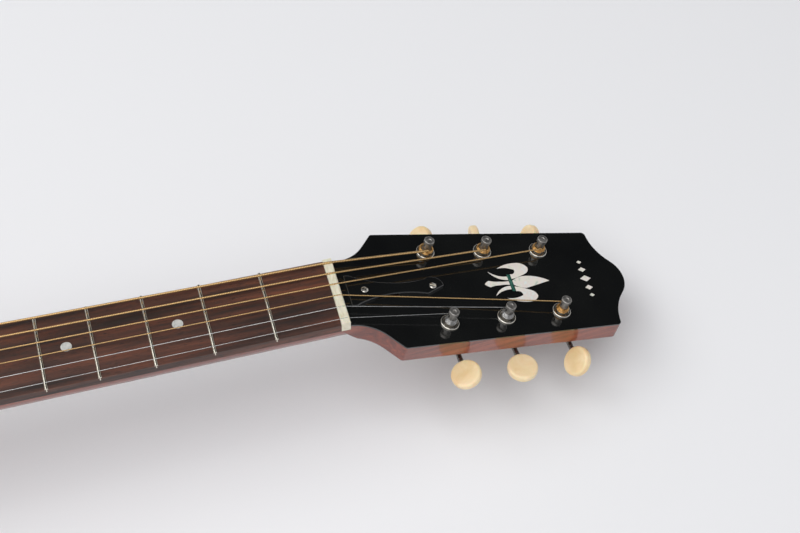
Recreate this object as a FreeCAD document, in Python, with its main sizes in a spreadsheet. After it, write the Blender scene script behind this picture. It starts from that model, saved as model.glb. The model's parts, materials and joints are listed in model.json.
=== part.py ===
import FreeCAD, Part
import math
import os
import re
import Sketcher
from FreeCAD import Vector

# A flat-top acoustic guitar that lies on its back, in millimetres.
# +X points to the head, +Y to the bass side, +Z up; the back plate rests on z = 0.
#
# Three frames are used, each a Placement object in the document:
#   boardFrame  origin at the string edge of the nut, z = 0 is the face of the soundboard
#   headFrame   origin at the head side of the nut, z = 0 is the face of the head
#   row frames  origin on a post's axis at the head face, x along the row to the tip, y to the bass side

doc = FreeCAD.newDocument("guitar")

# ---------------------------------------------------------------- driving dimensions
DIMENSIONS = {
    # scale and body
    "scaleLength": 628.65,
    "jointFret": 14,            # the body starts at this fret
    "fretCount": 19,
    "bodyLength": 489,
    "lowerWidth": 375,
    "upperWidth": 256,
    "depthJoint": 92,           # body depth where the neck joins
    "depthTail": 111,
    "waistRadius": 121,
    "lowerRadius": 120,
    "lowerCentre": 150,         # from the tail
    "upperRadius": 88,
    "upperCentre": 94,          # from the neck joint
    "topThick": 3,
    "backThick": 2.8,
    "sideThick": 2.2,
    "bindingTall": 5,
    "liningTall": 14,
    "liningThick": 6,
    "soundholeRadius": 50.8,
    "soundholeSetback": 128.2,  # from the joint to the hole's centre
    "rosetteInner": 56.5,
    "rosetteOuter": 61,
    "rosetteDeep": 1,
    "neckBlockLong": 45,
    "neckBlockWide": 76,
    "tailBlockLong": 20,
    "tailBlockWide": 90,
    # braces
    "braceThick": 8,
    "braceTall": 13,
    "crossSetback": 201,        # from the joint to the crossing of the X brace
    "crossAngle": 47,           # each leg of the X against the centre line
    "crossLong": 420,
    "upperBraceSetback": 62,
    "toneBarThick": 6,
    "toneBarTall": 10,
    "toneBarLong": 150,
    "toneBarAngle": 62,
    "toneBarSpacing": 48,
    "toneBarGap": 5,            # from the bridge plate
    "toneBarAside": 12,
    "backBraceThick": 8,
    "backBraceTall": 15,
    "backBraceFirst": 75,       # from the joint
    "backBraceSpacing": 113,
    "stripThick": 2,
    "stripWide": 16,
    # bridge, saddle and pins
    "bridgeLong": 152,
    "bridgeWide": 26,
    "bridgeThick": 8,
    "bridgeFlat": 92,           # full-height length of the bridge
    "wingThick": 4,
    "saddleToFront": 8.6,       # saddle line to the bridge's front edge
    "compensation": 1.95,
    "saddleLong": 76,
    "saddleThick": 2.8,
    "saddleSunk": 4.5,
    "saddleTop": 11.8,
    "saddleSlant": 2.5,
    "pinSetback": 10.9,         # saddle line to the pins
    "pinRadius": 2.4,
    "pinHeadRadius": 3.9,
    "pinLong": 17,
    "bridgePlateLead": 2,       # of the plate ahead of the bridge
    "bridgePlateLong": 34,
    "bridgePlateThick": 2.5,
    "bridgePlateGap": 3,
    "nutSpacing": 38,           # first to last string at the nut
    "saddleSpacing": 55,
    # pickguard
    "guardThick": 0.8,
    "guardInner": 63.5,
    "guardStart": 38,           # angles below the centre line, seen from the hole
    "guardEnd": 128,
    "guardOuterRadius": 95,
    # end pin
    "endPinOut": 14,
    "endPinHeadRadius": 6,
    "endPinShank": 4,
    "endPinLong": 20,
    "endPinDrop": 55,
    # neck and fingerboard
    "nutWidth": 44.4,
    "boardWidthJoint": 51.5,
    "boardThick": 6,
    "boardRadius": 305,
    "boardOverhang": 5.1,       # past the last fret
    "neckDepthNut": 16,
    "neckDepthJoint": 18.5,
    "heelStart": 56,            # from the joint
    "heelRadius": 38,
    "heelTipHalf": 12,
    "heelEnd": 88,
    "heelCapThick": 2.5,
    "tenonLong": 15,
    "tenonWide": 20,
    "tenonTall": 72,
    "fretWide": 2,
    "fretTall": 1,
    "tangThick": 0.6,
    "tangDeep": 2,
    "dotRadius": 3,
    "dotDeep": 1.5,
    "twinDotOffset": 11,
    "sideDotRadius": 1,
    "nutThick": 5,
    "nutRise": 1.7,             # nut above the fingerboard
    "nutAction": 0.4,           # string above the plane of the frets, at the nut
    "stringFit": 0.03,          # of a string in its groove
    # truss rod
    "rodRadius": 2.4,
    "rodDrop": 7.5,
    "rodGroove": 6.5,
    "rodEnd": 25,               # from the joint
    "anchorLong": 12,
    "rodFit": 0.4,              # rod in its bore through the head
    "rodNutRadius": 3.2,
    "rodNutLong": 12,
    "rodNutSocket": 2,
    "socketDeep": 4.5,
    "pocketStart": 16,          # from the head side of the nut, beyond the near cover screw
    "pocketLong": 16,
    "pocketWide": 10,
    "pocketRoom": 0.6,          # round the rod's nut
    "coverThick": 1.8,
    "coverStart": 3.5,
    "coverHalf": 10.5,
    "coverEnd": 59.5,
    "coverTopRadius": 6.5,
    "coverScrewNear": 13.2,
    "coverScrewFar": 52.9,
    "coverScrewRadius": 1,
    "coverScrewHead": 2,
    "coverScrewBite": 4,        # below the head face
    "coverScrewTall": 1,        # of the head, sunk in the cover
    # head
    "headRise": 3.8,            # head face above the soundboard plane, at the nut
    "headAngle": 13.2,
    "headLength": 170.3,
    "headThick": 12.5,
    "veneerThick": 0.9,
    "earU": 27,                 # along the head, from the nut
    "earV": 39.8,               # across the head, from the centre line
    "cornerU": 157.2,
    "cornerV": 33.7,
    "shoulderRadius": 24,
    "shoulderAngle": 50,
    "scoopRadius": 32,
    "crestRadius": 17,
    "cornerRound": 2.2,
    "backRound": 1.5,
    "inlayDeep": 0.6,
    "ornamentU": 100.5,         # the band round the ornament
    "bandHalf": 1,
    "inlayJoint": 1.15,         # where the leaves start, a thin line of black beside the band
    "crestU": 146.5,
    # tuners
    "firstPost": 56,
    "postSpacing": 34,
    "postInset": 13.2,          # from the head's edge
    "postRadius": 3,
    "postWaist": 2.2,
    "postTop": 10.5,
    "postHeadTall": 2.2,
    "dimpleRadius": 1.1,
    "dimpleDeep": 0.35,
    "stringHoleRadius": 0.85,
    "windingHeight": 5.2,       # the string meets the post here, above the head face
    "runFit": 0.05,
    "flangeRadius": 5.25,
    "flangeThick": 1,
    "sleeveRadius": 4.2,
    "sleeveLong": 8,
    "plateThick": 1,
    "plateWide": 13,
    "plateBefore": 14,
    "plateAfter": 21,
    "plateScrewRadius": 1.3,
    "plateScrewHead": 2.3,
    "plateScrewSunk": 0.9,      # rim of the head below the plate
    "plateScrewLong": 9,
    "wormGap": 0.5,             # under the plate
    "gearCentre": 6.5,          # post axis to shaft axis
    "gearTeeth": 12,
    "gearRoot": 3.35,
    "gearTip": 4.8,
    "gearWide": 3.4,
    "toothThick": 0.72,
    "wormPitch": 2.2,
    "wormTurns": 4,
    "wormCore": 1.45,
    "wormOuter": 3,
    "threadThick": 0.9,
    "shaftRadius": 1.5,
    "earThick": 1,
    "earHalf": 3.3,
    "buttonCentre": 23.2,
    "buttonRadius": 8.5,
    "buttonThick": 4.6,
    "buttonRim": 1.5,
    "buttonSunk": 5,            # length of shaft held in the button
}

sheet = doc.addObject("Spreadsheet::Sheet", "Sizes")
for row, (alias, size) in enumerate(DIMENSIONS.items(), start=1):
    sheet.set("A%d" % row, alias)
    sheet.set("B%d" % row, str(size))
    sheet.setAlias("B%d" % row, alias)
doc.recompute()

# Sizes that follow from the ones above; each is a formula in the same names.
DERIVED = {
    "jointX": "scaleLength * (1 - 2 ^ (-jointFret / 12))",
    "tailX": "jointX + bodyLength",
    "tilt": "asin((depthTail - depthJoint) / bodyLength)",
    "boardEnd": "scaleLength * (1 - 2 ^ (-fretCount / 12)) + boardOverhang",
    "boardTaper": "(boardWidthJoint - nutWidth) / 2 / jointX",
    "holeX": "jointX + soundholeSetback",
    "saddleX": "scaleLength + compensation",
    "pinX": "saddleX + pinSetback",
    "bridgeFront": "saddleX - saddleToFront",
    "headTipX": "nutThick + headLength * cos(headAngle)",
    "headTipZ": "headRise - headLength * sin(headAngle)",
    "farEndX": "headTipX * cos(tilt) + headTipZ * sin(tilt)",
    "tailEndX": "(tailX + endPinOut) * cos(tilt) + (endPinDrop + endPinHeadRadius) * sin(tilt)",
    "originX": "(tailEndX - farEndX) / 2",
    "originZ": "depthJoint - jointX * sin(tilt)",
    "edgeSlope": "(earV - cornerV) / (cornerU - earU)",
    "rowTurn": "atan(edgeSlope)",
    "rowStartV": "earV - (firstPost - earU) * edgeSlope - postInset / cos(rowTurn)",
    "shaftDrop": "headThick + plateThick + wormGap + wormOuter",
    "plateLow": "headThick + plateThick",
    "earY": "plateWide / 2 - earThick",
    "blankDeep": "depthTail + 30",
    # body outline: circle centres as (distance from the nut, distance from the centre line)
    "lowX": "tailX - lowerCentre",
    "lowY": "lowerWidth / 2 - lowerRadius",
    "upX": "jointX + upperCentre",
    "upY": "upperWidth / 2 - upperRadius",
    "boutGap": "sqrt((lowX - upX) ^ 2 + (lowY - upY) ^ 2)",
    "lowReach": "lowerRadius + waistRadius",
    "upReach": "upperRadius + waistRadius",
    "waistAlong": "(boutGap ^ 2 + lowReach ^ 2 - upReach ^ 2) / (2 * boutGap)",
    "waistOut": "sqrt(lowReach ^ 2 - waistAlong ^ 2)",
    "waistX": "lowX - (waistAlong * (lowX - upX) + waistOut * (lowY - upY)) / boutGap",
    "waistY": "lowY + (waistOut * (lowX - upX) - waistAlong * (lowY - upY)) / boutGap",
    "tailRadius": "(lowerCentre ^ 2 + lowY ^ 2 - lowerRadius ^ 2) / (2 * (lowerCentre - lowerRadius))",
    "jointRadius": "(upperCentre ^ 2 + upY ^ 2 - upperRadius ^ 2) / (2 * (upperCentre - upperRadius))",
    "tailPart": "tailRadius / (tailRadius - lowerRadius)",
    "jointPart": "jointRadius / (jointRadius - upperRadius)",
    # head outline: where the straight side meets the shoulder, and the scoop's circle
    "shoulderEndU": "earU - (earV - shoulderEndV) / tan(shoulderAngle)",
    "shoulderEndV": "nutWidth / 2 + shoulderRadius * (1 - cos(shoulderAngle))",
    "crestCentreU": "headLength - crestRadius",
    "scoopGap": "sqrt((cornerU - crestCentreU) ^ 2 + cornerV ^ 2)",
    "scoopAlong": "((crestRadius + scoopRadius) ^ 2 - scoopRadius ^ 2 + scoopGap ^ 2) / (2 * scoopGap)",
    "scoopOut": "sqrt((crestRadius + scoopRadius) ^ 2 - scoopAlong ^ 2)",
    "scoopU": "crestCentreU + (scoopAlong * (cornerU - crestCentreU) + scoopOut * cornerV) / scoopGap",
    "scoopV": "(scoopAlong * cornerV - scoopOut * (cornerU - crestCentreU)) / scoopGap",
    "crestPart": "crestRadius / (crestRadius + scoopRadius)",
}


def formula(text):
    """Writes a formula in the sheet's own names: each alias becomes Sizes.alias."""
    def swap(found):
        word = found.group(0)
        if word in DERIVED:
            return "(" + formula(DERIVED[word]) + ")"
        return "Sizes." + word if word in DIMENSIONS else word
    return re.sub(r"[A-Za-z]\w*", swap, str(text))


origin = doc.addObject("App::Placement", "rowFrame")


def value(text):
    """The number that a formula gives, lengths in mm and angles in degrees."""
    result = origin.evalExpression(formula(text))
    return float(getattr(result, "Value", result))


def bind(item, **sizes):
    """Ties properties of an object to formulas; Placement_Base_x stands for Placement.Base.x."""
    for prop, text in sizes.items():
        item.setExpression(prop.replace("_", "."), formula(text))
    return item


def shift(x, y, z, axis="0; 0; 1", angle="0"):
    """A placement formula: a move, then a turn about an axis through the new place."""
    move = "vector(%s; %s; %s)" % (formula(x), formula(y), formula(z))
    turn = "rotation(vector(%s); %s)" % (axis, formula(angle))
    return "placement(%s; %s)" % (move, turn)


def frame(name, parent, place):
    """A named frame, placed in its parent frame."""
    item = doc.addObject("App::Placement", name)
    item.setExpression("Placement", parent + ".Placement * " + place)
    return item


frame("boardFrame", "rowFrame", shift("originX", "0", "originZ", "0; 1; 0", "tilt"))
frame("headFrame", "boardFrame", shift("nutThick", "0", "headRise", "0; 1; 0", "headAngle"))
# the head's own frame seen from the fingerboard, for what is cut in both
frame("headInBoard", "rowFrame", shift("nutThick", "0", "headRise", "0; 1; 0", "headAngle"))

SIDES = {"bass": 1, "treble": -1}
for side, sign in SIDES.items():
    for post in range(3):
        along = "firstPost + %d * postSpacing * cos(rowTurn)" % post
        across = "%d * (rowStartV - %d * postSpacing * sin(rowTurn))" % (sign, post)
        frame("row_%s_%d" % (side, post + 1), "headFrame",
              shift(along, across, "0", "0; 0; 1", "-%d * rowTurn" % sign))
doc.recompute()


# ---------------------------------------------------------------- drawing helpers
def solid_box(name, low, high):
    """A box between two corners, each three formulas."""
    item = doc.addObject("Part::Box", name)
    bind(item, Length="(%s) - (%s)" % (high[0], low[0]), Width="(%s) - (%s)" % (high[1], low[1]),
         Height="(%s) - (%s)" % (high[2], low[2]))
    return bind(item, Placement_Base_x=low[0], Placement_Base_y=low[1], Placement_Base_z=low[2])


def solid_cylinder(name, radius, height, foot, axis=Vector(0, 0, 1)):
    """A cylinder that stands on foot and points along axis."""
    item = doc.addObject("Part::Cylinder", name)
    item.Placement.Rotation = FreeCAD.Rotation(Vector(0, 0, 1), axis)
    bind(item, Radius=radius, Height=height)
    return bind(item, Placement_Base_x=foot[0], Placement_Base_y=foot[1], Placement_Base_z=foot[2])


def boolean(kind, name, base, *tools):
    """base cut, joined or crossed with the tools; several tools are gathered in one compound."""
    item = doc.addObject("Part::" + kind, name)
    item.Base = base
    item.Tool = tools[0] if len(tools) == 1 else compound(name + "_tools", *tools)
    return item


def compound(name, *items):
    item = doc.addObject("Part::Compound", name)
    item.Links = list(items)
    return item


def placed(name, item, frame_name, place=None):
    """The item as it stands in another frame."""
    group = compound(name, item)
    group.setExpression("Placement", frame_name + ".Placement" + (" * " + place if place else ""))
    return group


def prism(name, outline, low, high):
    """The closed outline raised from z = low to z = high."""
    item = doc.addObject("Part::Extrusion", name)
    item.Base = outline
    item.DirMode = "Custom"
    item.Dir = Vector(0, 0, 1)
    item.Solid = True
    return bind(item, LengthFwd=high, LengthRev="-(%s)" % low)


def arc_between(start, end, radius):
    """The short arc from start to end; a positive radius turns left, a negative one right."""
    chord = end - start
    reach = math.sqrt(max(radius ** 2 - chord.Length ** 2 / 4, 0))
    left = Vector(-chord.y, chord.x, 0).normalize()
    centre = (start + end) / 2 + left * (reach if radius > 0 else -reach)
    first, last = (start, end) if radius > 0 else (end, start)
    angles = [math.atan2(p.y - centre.y, p.x - centre.x) for p in (first, last)]
    if angles[1] < angles[0]:
        angles[1] += 2 * math.pi
    return Part.ArcOfCircle(Part.Circle(centre, Vector(0, 0, 1), abs(radius)), angles[0], angles[1])


def draw(sketch, corners):
    """A closed outline. A corner is (x, y), or (x, y, radius) where an arc arrives at it."""
    points = [Vector(value(corner[0]), value(corner[1]), 0) for corner in corners]
    ends = []
    for index, corner in enumerate(corners):
        if len(corner) == 2:
            sketch.addGeometry(Part.LineSegment(points[index - 1], points[index]))
            ends.append((1, 2))
        else:
            radius = value(corner[2])
            sketch.addGeometry(arc_between(points[index - 1], points[index], radius))
            ends.append((1, 2) if radius > 0 else (2, 1))
    rules, formulas = [], []
    for index, corner in enumerate(corners):
        following = (index + 1) % len(corners)
        arrives = ends[index][1]
        rules.append(Sketcher.Constraint("Coincident", index, arrives, following, ends[following][0]))
        formulas.append(None)
        for kind, axis, text in (("DistanceX", -2, corner[0]), ("DistanceY", -1, corner[1])):
            distance = value(text)
            if abs(distance) < 1e-9:
                rules.append(Sketcher.Constraint("PointOnObject", index, arrives, axis))
                formulas.append(None)
            elif distance > 0:
                rules.append(Sketcher.Constraint(kind, -1, 1, index, arrives, distance))
                formulas.append(formula(text))
            else:
                rules.append(Sketcher.Constraint(kind, index, arrives, -1, 1, -distance))
                formulas.append("-(" + formula(text) + ")")
        if len(corner) == 3:
            rules.append(Sketcher.Constraint("Radius", index, abs(value(corner[2]))))
            formulas.append("abs(" + formula(corner[2]) + ")")
    sketch.addConstraint(rules)
    for index, text in enumerate(formulas):
        if text:
            sketch.setExpression("Constraints[%d]" % index, text)


def mirrored(half, turn=()):
    """A half outline, then its mirror image across the x axis, walked back to the start."""
    full = list(half)
    for index in range(len(half) - 1, -1, -1):
        x, y = half[index][:2]
        if y == "0":
            continue
        arc = half[index + 1][2:] if index + 1 < len(half) else turn
        full.append((x, "-(%s)" % y) + tuple(arc))
    return full


def body_sketch(name, corners, plane, offset="0"):
    """A body with one closed sketch on one of its own origin planes."""
    body = doc.addObject("PartDesign::Body", name)
    sketch = body.newObject("Sketcher::SketchObject", name + "_sketch")
    features = body.Origin.OriginFeatures
    sketch.AttachmentSupport = [(next(item for item in features if item.Role == plane), "")]
    sketch.MapMode = "FlatFace"
    if offset != "0":
        sketch.setExpression("AttachmentOffset.Base.z", formula(offset))
    draw(sketch, corners)
    return body, sketch


def padded(name, corners, low, high, plane="XY_Plane"):
    """A plate with the outline given by corners, from low to high along its plane's normal."""
    body, sketch = body_sketch(name, corners, plane, low)
    pad = body.newObject("PartDesign::Pad", name + "_pad")
    pad.Profile = sketch
    bind(pad, Length="(%s) - (%s)" % (high, low))
    return body


def turned(name, corners):
    """A round piece: the half profile (radius, height) turned about the z axis."""
    body, sketch = body_sketch(name, corners, "XZ_Plane")
    revolution = body.newObject("PartDesign::Revolution", name + "_turn")
    revolution.Profile = sketch
    revolution.ReferenceAxis = (sketch, ["V_Axis"])
    revolution.Angle = 360
    return body


def plain_shape(name, shape):
    """A shape that the sketch and solid tools don't make, built from the sheet's sizes."""
    item = doc.addObject("Part::Feature", name)
    item.Shape = shape
    return item


def fillet_edges(body, name, radius, chosen):
    """Rounds those edges of a body's tip for which chosen(edge) holds."""
    doc.recompute()
    tip = body.Tip
    names = ["Edge%d" % (i + 1) for i, edge in enumerate(tip.Shape.Edges) if chosen(edge)]
    item = body.newObject("PartDesign::Fillet", name)
    item.Base = (tip, names)
    bind(item, Radius=radius)
    return item


NODES = []


def node(name, frame_name, *items):
    """One named sub-part: one or more separate solids, standing in a frame."""
    group = doc.addObject("Part::Compound", name + "_part")
    group.Links = list(items)
    group.Label = name
    group.setExpression("Placement", frame_name + ".Placement")
    NODES.append(group)
    return group


# ---------------------------------------------------------------- body of the guitar
outline = doc.addObject("Sketcher::SketchObject", "outline")
draw(outline, mirrored([
    ("-(jointX + jointRadius - (jointX + jointRadius - upX) * jointPart)", "upY * jointPart", "jointRadius"),
    ("-(upX + (waistX - upX) * upperRadius / upReach)", "upY + (waistY - upY) * upperRadius / upReach",
     "upperRadius"),
    ("-(lowX + (waistX - lowX) * lowerRadius / lowReach)",
     "lowY + (waistY - lowY) * lowerRadius / lowReach", "-waistRadius"),
    ("-(tailX - tailRadius + (lowX - tailX + tailRadius) * tailPart)", "lowY * tailPart", "lowerRadius"),
], ("tailRadius",)))


def inner_outline(name, inset):
    """The body outline, moved in by a distance."""
    item = doc.addObject("Part::Offset2D", name)
    item.Source = outline
    return bind(item, Value="-(%s)" % inset)


def above_back(name, low, high):
    """A wide slab between two heights over the plane that the guitar rests on."""
    item = doc.addObject("Part::Box", name)
    bind(item, Length="2 * scaleLength + 2 * bodyLength", Width="2 * lowerWidth",
         Height="(%s) - (%s)" % (high, low))
    corner = shift("-(scaleLength + bodyLength)", "-lowerWidth", low)
    item.setExpression("Placement", "minvert(boardFrame.Placement) * " + corner)
    return item


wall_line = inner_outline("wall_line", "sideThick")
lining_line = inner_outline("lining_line", "sideThick + liningThick")
whole = prism("whole", outline, "-blankDeep", "0")
inside = prism("inside", wall_line, "-blankDeep", "0")
below_top = prism("below_top", wall_line, "-blankDeep", "-topThick")
over_plate = above_back("over_plate", "backThick", "2 * depthTail")
cavity = boolean("Common", "cavity", below_top, over_plate)
rim = boolean("Cut", "rim", whole, inside)

# the slotted heel joint: a tenon on the neck in a mortise through the rim and the block
tenon_low = ("-(jointX + sideThick + tenonLong)", "-tenonWide / 2", "-(bindingTall + tenonTall)")
tenon_high = ("-jointX + 5", "tenonWide / 2", "-(bindingTall + 0.2)")
tenon_space = solid_box("tenon_space", tenon_low, tenon_high)
pin_bore = solid_cylinder("pin_bore", "endPinShank", "endPinLong + 10", ("-(tailX - endPinLong)", "0",
                                                                         "-endPinDrop"),
                          Vector(-1, 0, 0))

side_band = solid_box("side_band", ("-tailX - 5", "-lowerWidth", "-blankDeep"),
                      ("5 - jointX", "lowerWidth", "-bindingTall"))
over_binding = above_back("over_binding", "bindingTall", "2 * depthTail")
rim_band = boolean("Common", "rim_band", boolean("Common", "rim_low", rim, side_band), over_binding)
rim_cut = boolean("Cut", "rim_cut", rim_band, tenon_space, pin_bore)
halves = []
for side, sign in SIDES.items():
    low, high = ("0", "lowerWidth") if sign > 0 else ("-lowerWidth", "0")
    half = solid_box("half_" + side, ("-tailX - 5", low, "-blankDeep"), ("5 - jointX", high, "0"))
    halves.append(boolean("Common", "side_" + side, rim_cut, half))
node("sides", "boardFrame", *halves)

top_edge = solid_box("top_edge", ("-tailX - 5", "-lowerWidth", "-bindingTall"), ("5 - jointX", "lowerWidth",
                                                                                 "0"))
back_edge = above_back("back_edge", "0", "bindingTall")
node("bindings", "boardFrame", boolean("Common", "top_binding", rim, top_edge),
     boolean("Common", "back_binding", rim, back_edge))

soundhole = solid_cylinder("soundhole", "soundholeRadius", "3 * topThick", ("-holeX", "0", "-2 * topThick"))
ring_outer = solid_cylinder("ring_outer", "rosetteOuter", "rosetteDeep", ("-holeX", "0", "-rosetteDeep"))
ring_inner = solid_cylinder("ring_inner", "rosetteInner", "rosetteDeep", ("-holeX", "0", "-rosetteDeep"))
rosette = boolean("Cut", "rosette_ring", ring_outer, ring_inner)
pin_holes = []
for string in range(6):
    across = "saddleSpacing * %s" % (0.5 - string / 5)
    pin_holes.append(solid_cylinder("pin_hole_%d" % (string + 1), "pinRadius", "2 * pinLong",
                                    ("-pinX", across, "bridgeThick - 2 * pinLong")))
soundboard_blank = prism("soundboard_blank", wall_line, "-topThick", "0")
node("soundboard", "boardFrame",
     boolean("Cut", "soundboard_cut", soundboard_blank, soundhole, rosette, *pin_holes))
node("rosette", "boardFrame", rosette)
node("back_plate", "boardFrame",
     boolean("Common", "back_cut", inside, above_back("back_slab", "0", "backThick")))

# end blocks, fitted to the inside of the rim
neck_blank = solid_box("neck_blank", ("-(jointX + sideThick + neckBlockLong)", "-neckBlockWide / 2",
                                      "-blankDeep"),
                       ("5 - jointX", "neckBlockWide / 2", "0"))
tail_blank = solid_box("tail_blank", ("-tailX - 5", "-tailBlockWide / 2", "-blankDeep"),
                       ("-(tailX - sideThick - tailBlockLong)", "tailBlockWide / 2", "0"))
neck_fitted = boolean("Common", "neck_fitted", cavity, neck_blank)
tail_fitted = boolean("Common", "tail_fitted", cavity, tail_blank)
node("neck_block", "boardFrame", boolean("Cut", "neck_block_cut", neck_fitted, tenon_space))
node("tail_block", "boardFrame", boolean("Cut", "tail_block_cut", tail_fitted, pin_bore))

lining_core = prism("lining_core", lining_line, "-blankDeep", "0")
lining_ring = boolean("Cut", "lining_ring", cavity, lining_core, neck_blank, tail_blank)
top_strip = solid_box("top_strip", ("-tailX - 5", "-lowerWidth", "-(topThick + liningTall)"),
                      ("5 - jointX", "lowerWidth", "-topThick"))
back_strip = above_back("back_lining_slab", "backThick", "backThick + liningTall")
node("linings", "boardFrame", boolean("Common", "top_linings", lining_ring, top_strip),
     boolean("Common", "back_linings", lining_ring, back_strip))


# ---------------------------------------------------------------- braces
def brace(name, centre, long, thick, tall, angle, top="-topThick"):
    """A bar under the soundboard, centred on a point of it and turned from the y axis by angle."""
    item = doc.addObject("Part::Box", name)
    bind(item, Length=thick, Width=long, Height=tall)
    turn = shift("-(%s)" % centre[0], centre[1], "0", angle=angle)
    item.setExpression("Placement", turn + " * " + shift("-(%s) / 2" % thick, "-(%s) / 2" % long,
                                                        "%s - (%s)" % (top, tall)))
    return item


brace_room = boolean("Common", "brace_room", lining_core, cavity)
brace_space = boolean("Cut", "brace_space", brace_room, neck_blank, tail_blank)
legs = {}
for side, sign in SIDES.items():
    legs[side] = brace("leg_" + side, ("jointX + crossSetback", "0"), "crossLong", "braceThick", "braceTall",
                       "%d * (90 - crossAngle)" % sign)
# the two legs are halved into each other where they cross
lap_low = solid_box("lap_low", ("-(jointX + crossSetback) - 2 * braceThick", "-2 * braceThick",
                                "-(topThick + 2 * braceTall)"),
                    ("-(jointX + crossSetback) + 2 * braceThick", "2 * braceThick",
                     "-(topThick + braceTall / 2)"))
lap_high = solid_box("lap_high", ("-(jointX + crossSetback) - 2 * braceThick", "-2 * braceThick",
                                  "-(topThick + braceTall / 2)"),
                     ("-(jointX + crossSetback) + 2 * braceThick", "2 * braceThick", "0"))
crossing = boolean("Common", "crossing", legs["bass"], legs["treble"])
bass_notch = boolean("Common", "bass_notch", crossing, lap_low)
treble_notch = boolean("Common", "treble_notch", crossing, lap_high)
cross = [boolean("Cut", "cross_bass", legs["bass"], bass_notch),
         boolean("Cut", "cross_treble", legs["treble"], treble_notch)]
upper = brace("upper_brace", ("jointX + upperBraceSetback", "0"), "lowerWidth", "braceThick", "braceTall",
              "0")
tones = []
# the tone bars start behind the bridge plate
tone_start = ("bridgeFront - bridgePlateLead + bridgePlateLong + toneBarGap + toneBarThick"
              " + toneBarLong / 2 * cos(toneBarAngle)")
for bar in range(2):
    centre = ("%s + %d * toneBarSpacing" % (tone_start, bar), "%d * toneBarAside" % (1 - 2 * bar))
    tones.append(brace("tone_bar_%d" % (bar + 1), centre, "toneBarLong", "toneBarThick", "toneBarTall",
                       "toneBarAngle - 90"))
bars = [boolean("Common", item.Name + "_fitted", brace_space, item) for item in cross + [upper]]
loose = [boolean("Cut", item.Name + "_clear", item, *cross) for item in tones]
bars += [boolean("Common", item.Name + "_fitted", brace_space, item) for item in loose]
node("top_braces", "boardFrame", *bars)

# the bridge plate lies between the legs of the X, under the pins
plate_front = "-(bridgeFront - bridgePlateLead)"
plate_half = ("((bridgeFront - bridgePlateLead - jointX - crossSetback) * tan(crossAngle)"
              " - braceThick / 2 / cos(crossAngle) - bridgePlateGap)")
bridge_plate_blank = solid_box("bridge_plate_blank",
                               ("%s - bridgePlateLong" % plate_front, "-" + plate_half,
                                "-(topThick + bridgePlateThick)"),
                               (plate_front, plate_half, "-topThick"))
plate_cut = boolean("Cut", "bridge_plate_cut", bridge_plate_blank, *pin_holes)
node("bridge_plate", "boardFrame", plate_cut)

back_bars = []
for bar in range(4):
    along = "-(jointX + backBraceFirst + %d * backBraceSpacing)" % bar
    slab = above_back("back_bar_slab_%d" % (bar + 1), "backThick", "backThick + backBraceTall")
    wide = solid_box("back_bar_wide_%d" % (bar + 1), ("%s - backBraceThick" % along, "-lowerWidth",
                                                      "-blankDeep"),
                     (along, "lowerWidth", "0"))
    back_bars.append(boolean("Common", "back_bar_%d" % (bar + 1), boolean("Common",
                                                                          "back_bar_room_%d" % (bar + 1),
                                                                         brace_space, slab), wide))
strip_slab = above_back("strip_slab", "backThick", "backThick + stripThick")
strip_wide = solid_box("strip_wide", ("-tailX", "-stripWide / 2", "-blankDeep"), ("-jointX",
                                                                                  "stripWide / 2", "0"))
strip = boolean("Common", "strip", boolean("Common", "strip_room", brace_space, strip_slab), strip_wide)
node("back_braces", "boardFrame", boolean("Cut", "strip_cut", strip, *back_bars), *back_bars)

# ---------------------------------------------------------------- bridge, saddle, pins, guard
bridge_blank = padded("bridge_blank", [
    ("-bridgeLong / 2", "0"), ("bridgeLong / 2", "0"), ("bridgeLong / 2", "wingThick"),
    ("bridgeFlat / 2", "bridgeThick"), ("-bridgeFlat / 2", "bridgeThick"), ("-bridgeLong / 2", "wingThick"),
], "-(bridgeFront + bridgeWide)", "-bridgeFront", "YZ_Plane")
fillet_edges(bridge_blank, "bridge_round", "wingThick / 4",
             lambda edge: edge.BoundBox.ZMin > 0.1 and edge.BoundBox.XLength < 0.1)
saddle_slot = doc.addObject("Part::Box", "saddle_slot")
bind(saddle_slot, Length="saddleThick", Width="saddleLong", Height="saddleTop")
slant = shift("-saddleX", "0", "bridgeThick - saddleSunk", angle="saddleSlant")
saddle_slot.setExpression("Placement", slant + " * " + shift("-saddleThick / 2", "-saddleLong / 2", "0"))
crown = solid_cylinder("saddle_crown", "boardRadius", "4 * bridgeWide",
                       ("-saddleX - 2 * bridgeWide", "0", "saddleTop - boardRadius"), Vector(1, 0, 0))
node("bridge", "boardFrame", boolean("Cut", "bridge_cut", bridge_blank, saddle_slot, *pin_holes))
saddle_arched = boolean("Common", "saddle_arched", saddle_slot, crown)

pin_shape = turned("bridge_pin", [
    ("0", "-pinLong"), ("pinRadius - 0.5", "-pinLong"), ("pinRadius", "-pinLong + 6"), ("pinRadius", "0"),
    ("pinHeadRadius - 0.6", "0"), ("pinHeadRadius", "0.8", "0.9"),
    ("pinRadius * 0.5", "pinHeadRadius - 0.6", "pinHeadRadius"), ("0", "pinHeadRadius - 0.6")])
pins = []
for string in range(6):
    place = shift("-pinX", "saddleSpacing * %s" % (0.5 - string / 5), "bridgeThick")
    pins.append(placed("bridge_pin_%d" % (string + 1), pin_shape, "rowFrame", place))
node("bridge_pins", "boardFrame", *pins)

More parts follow.
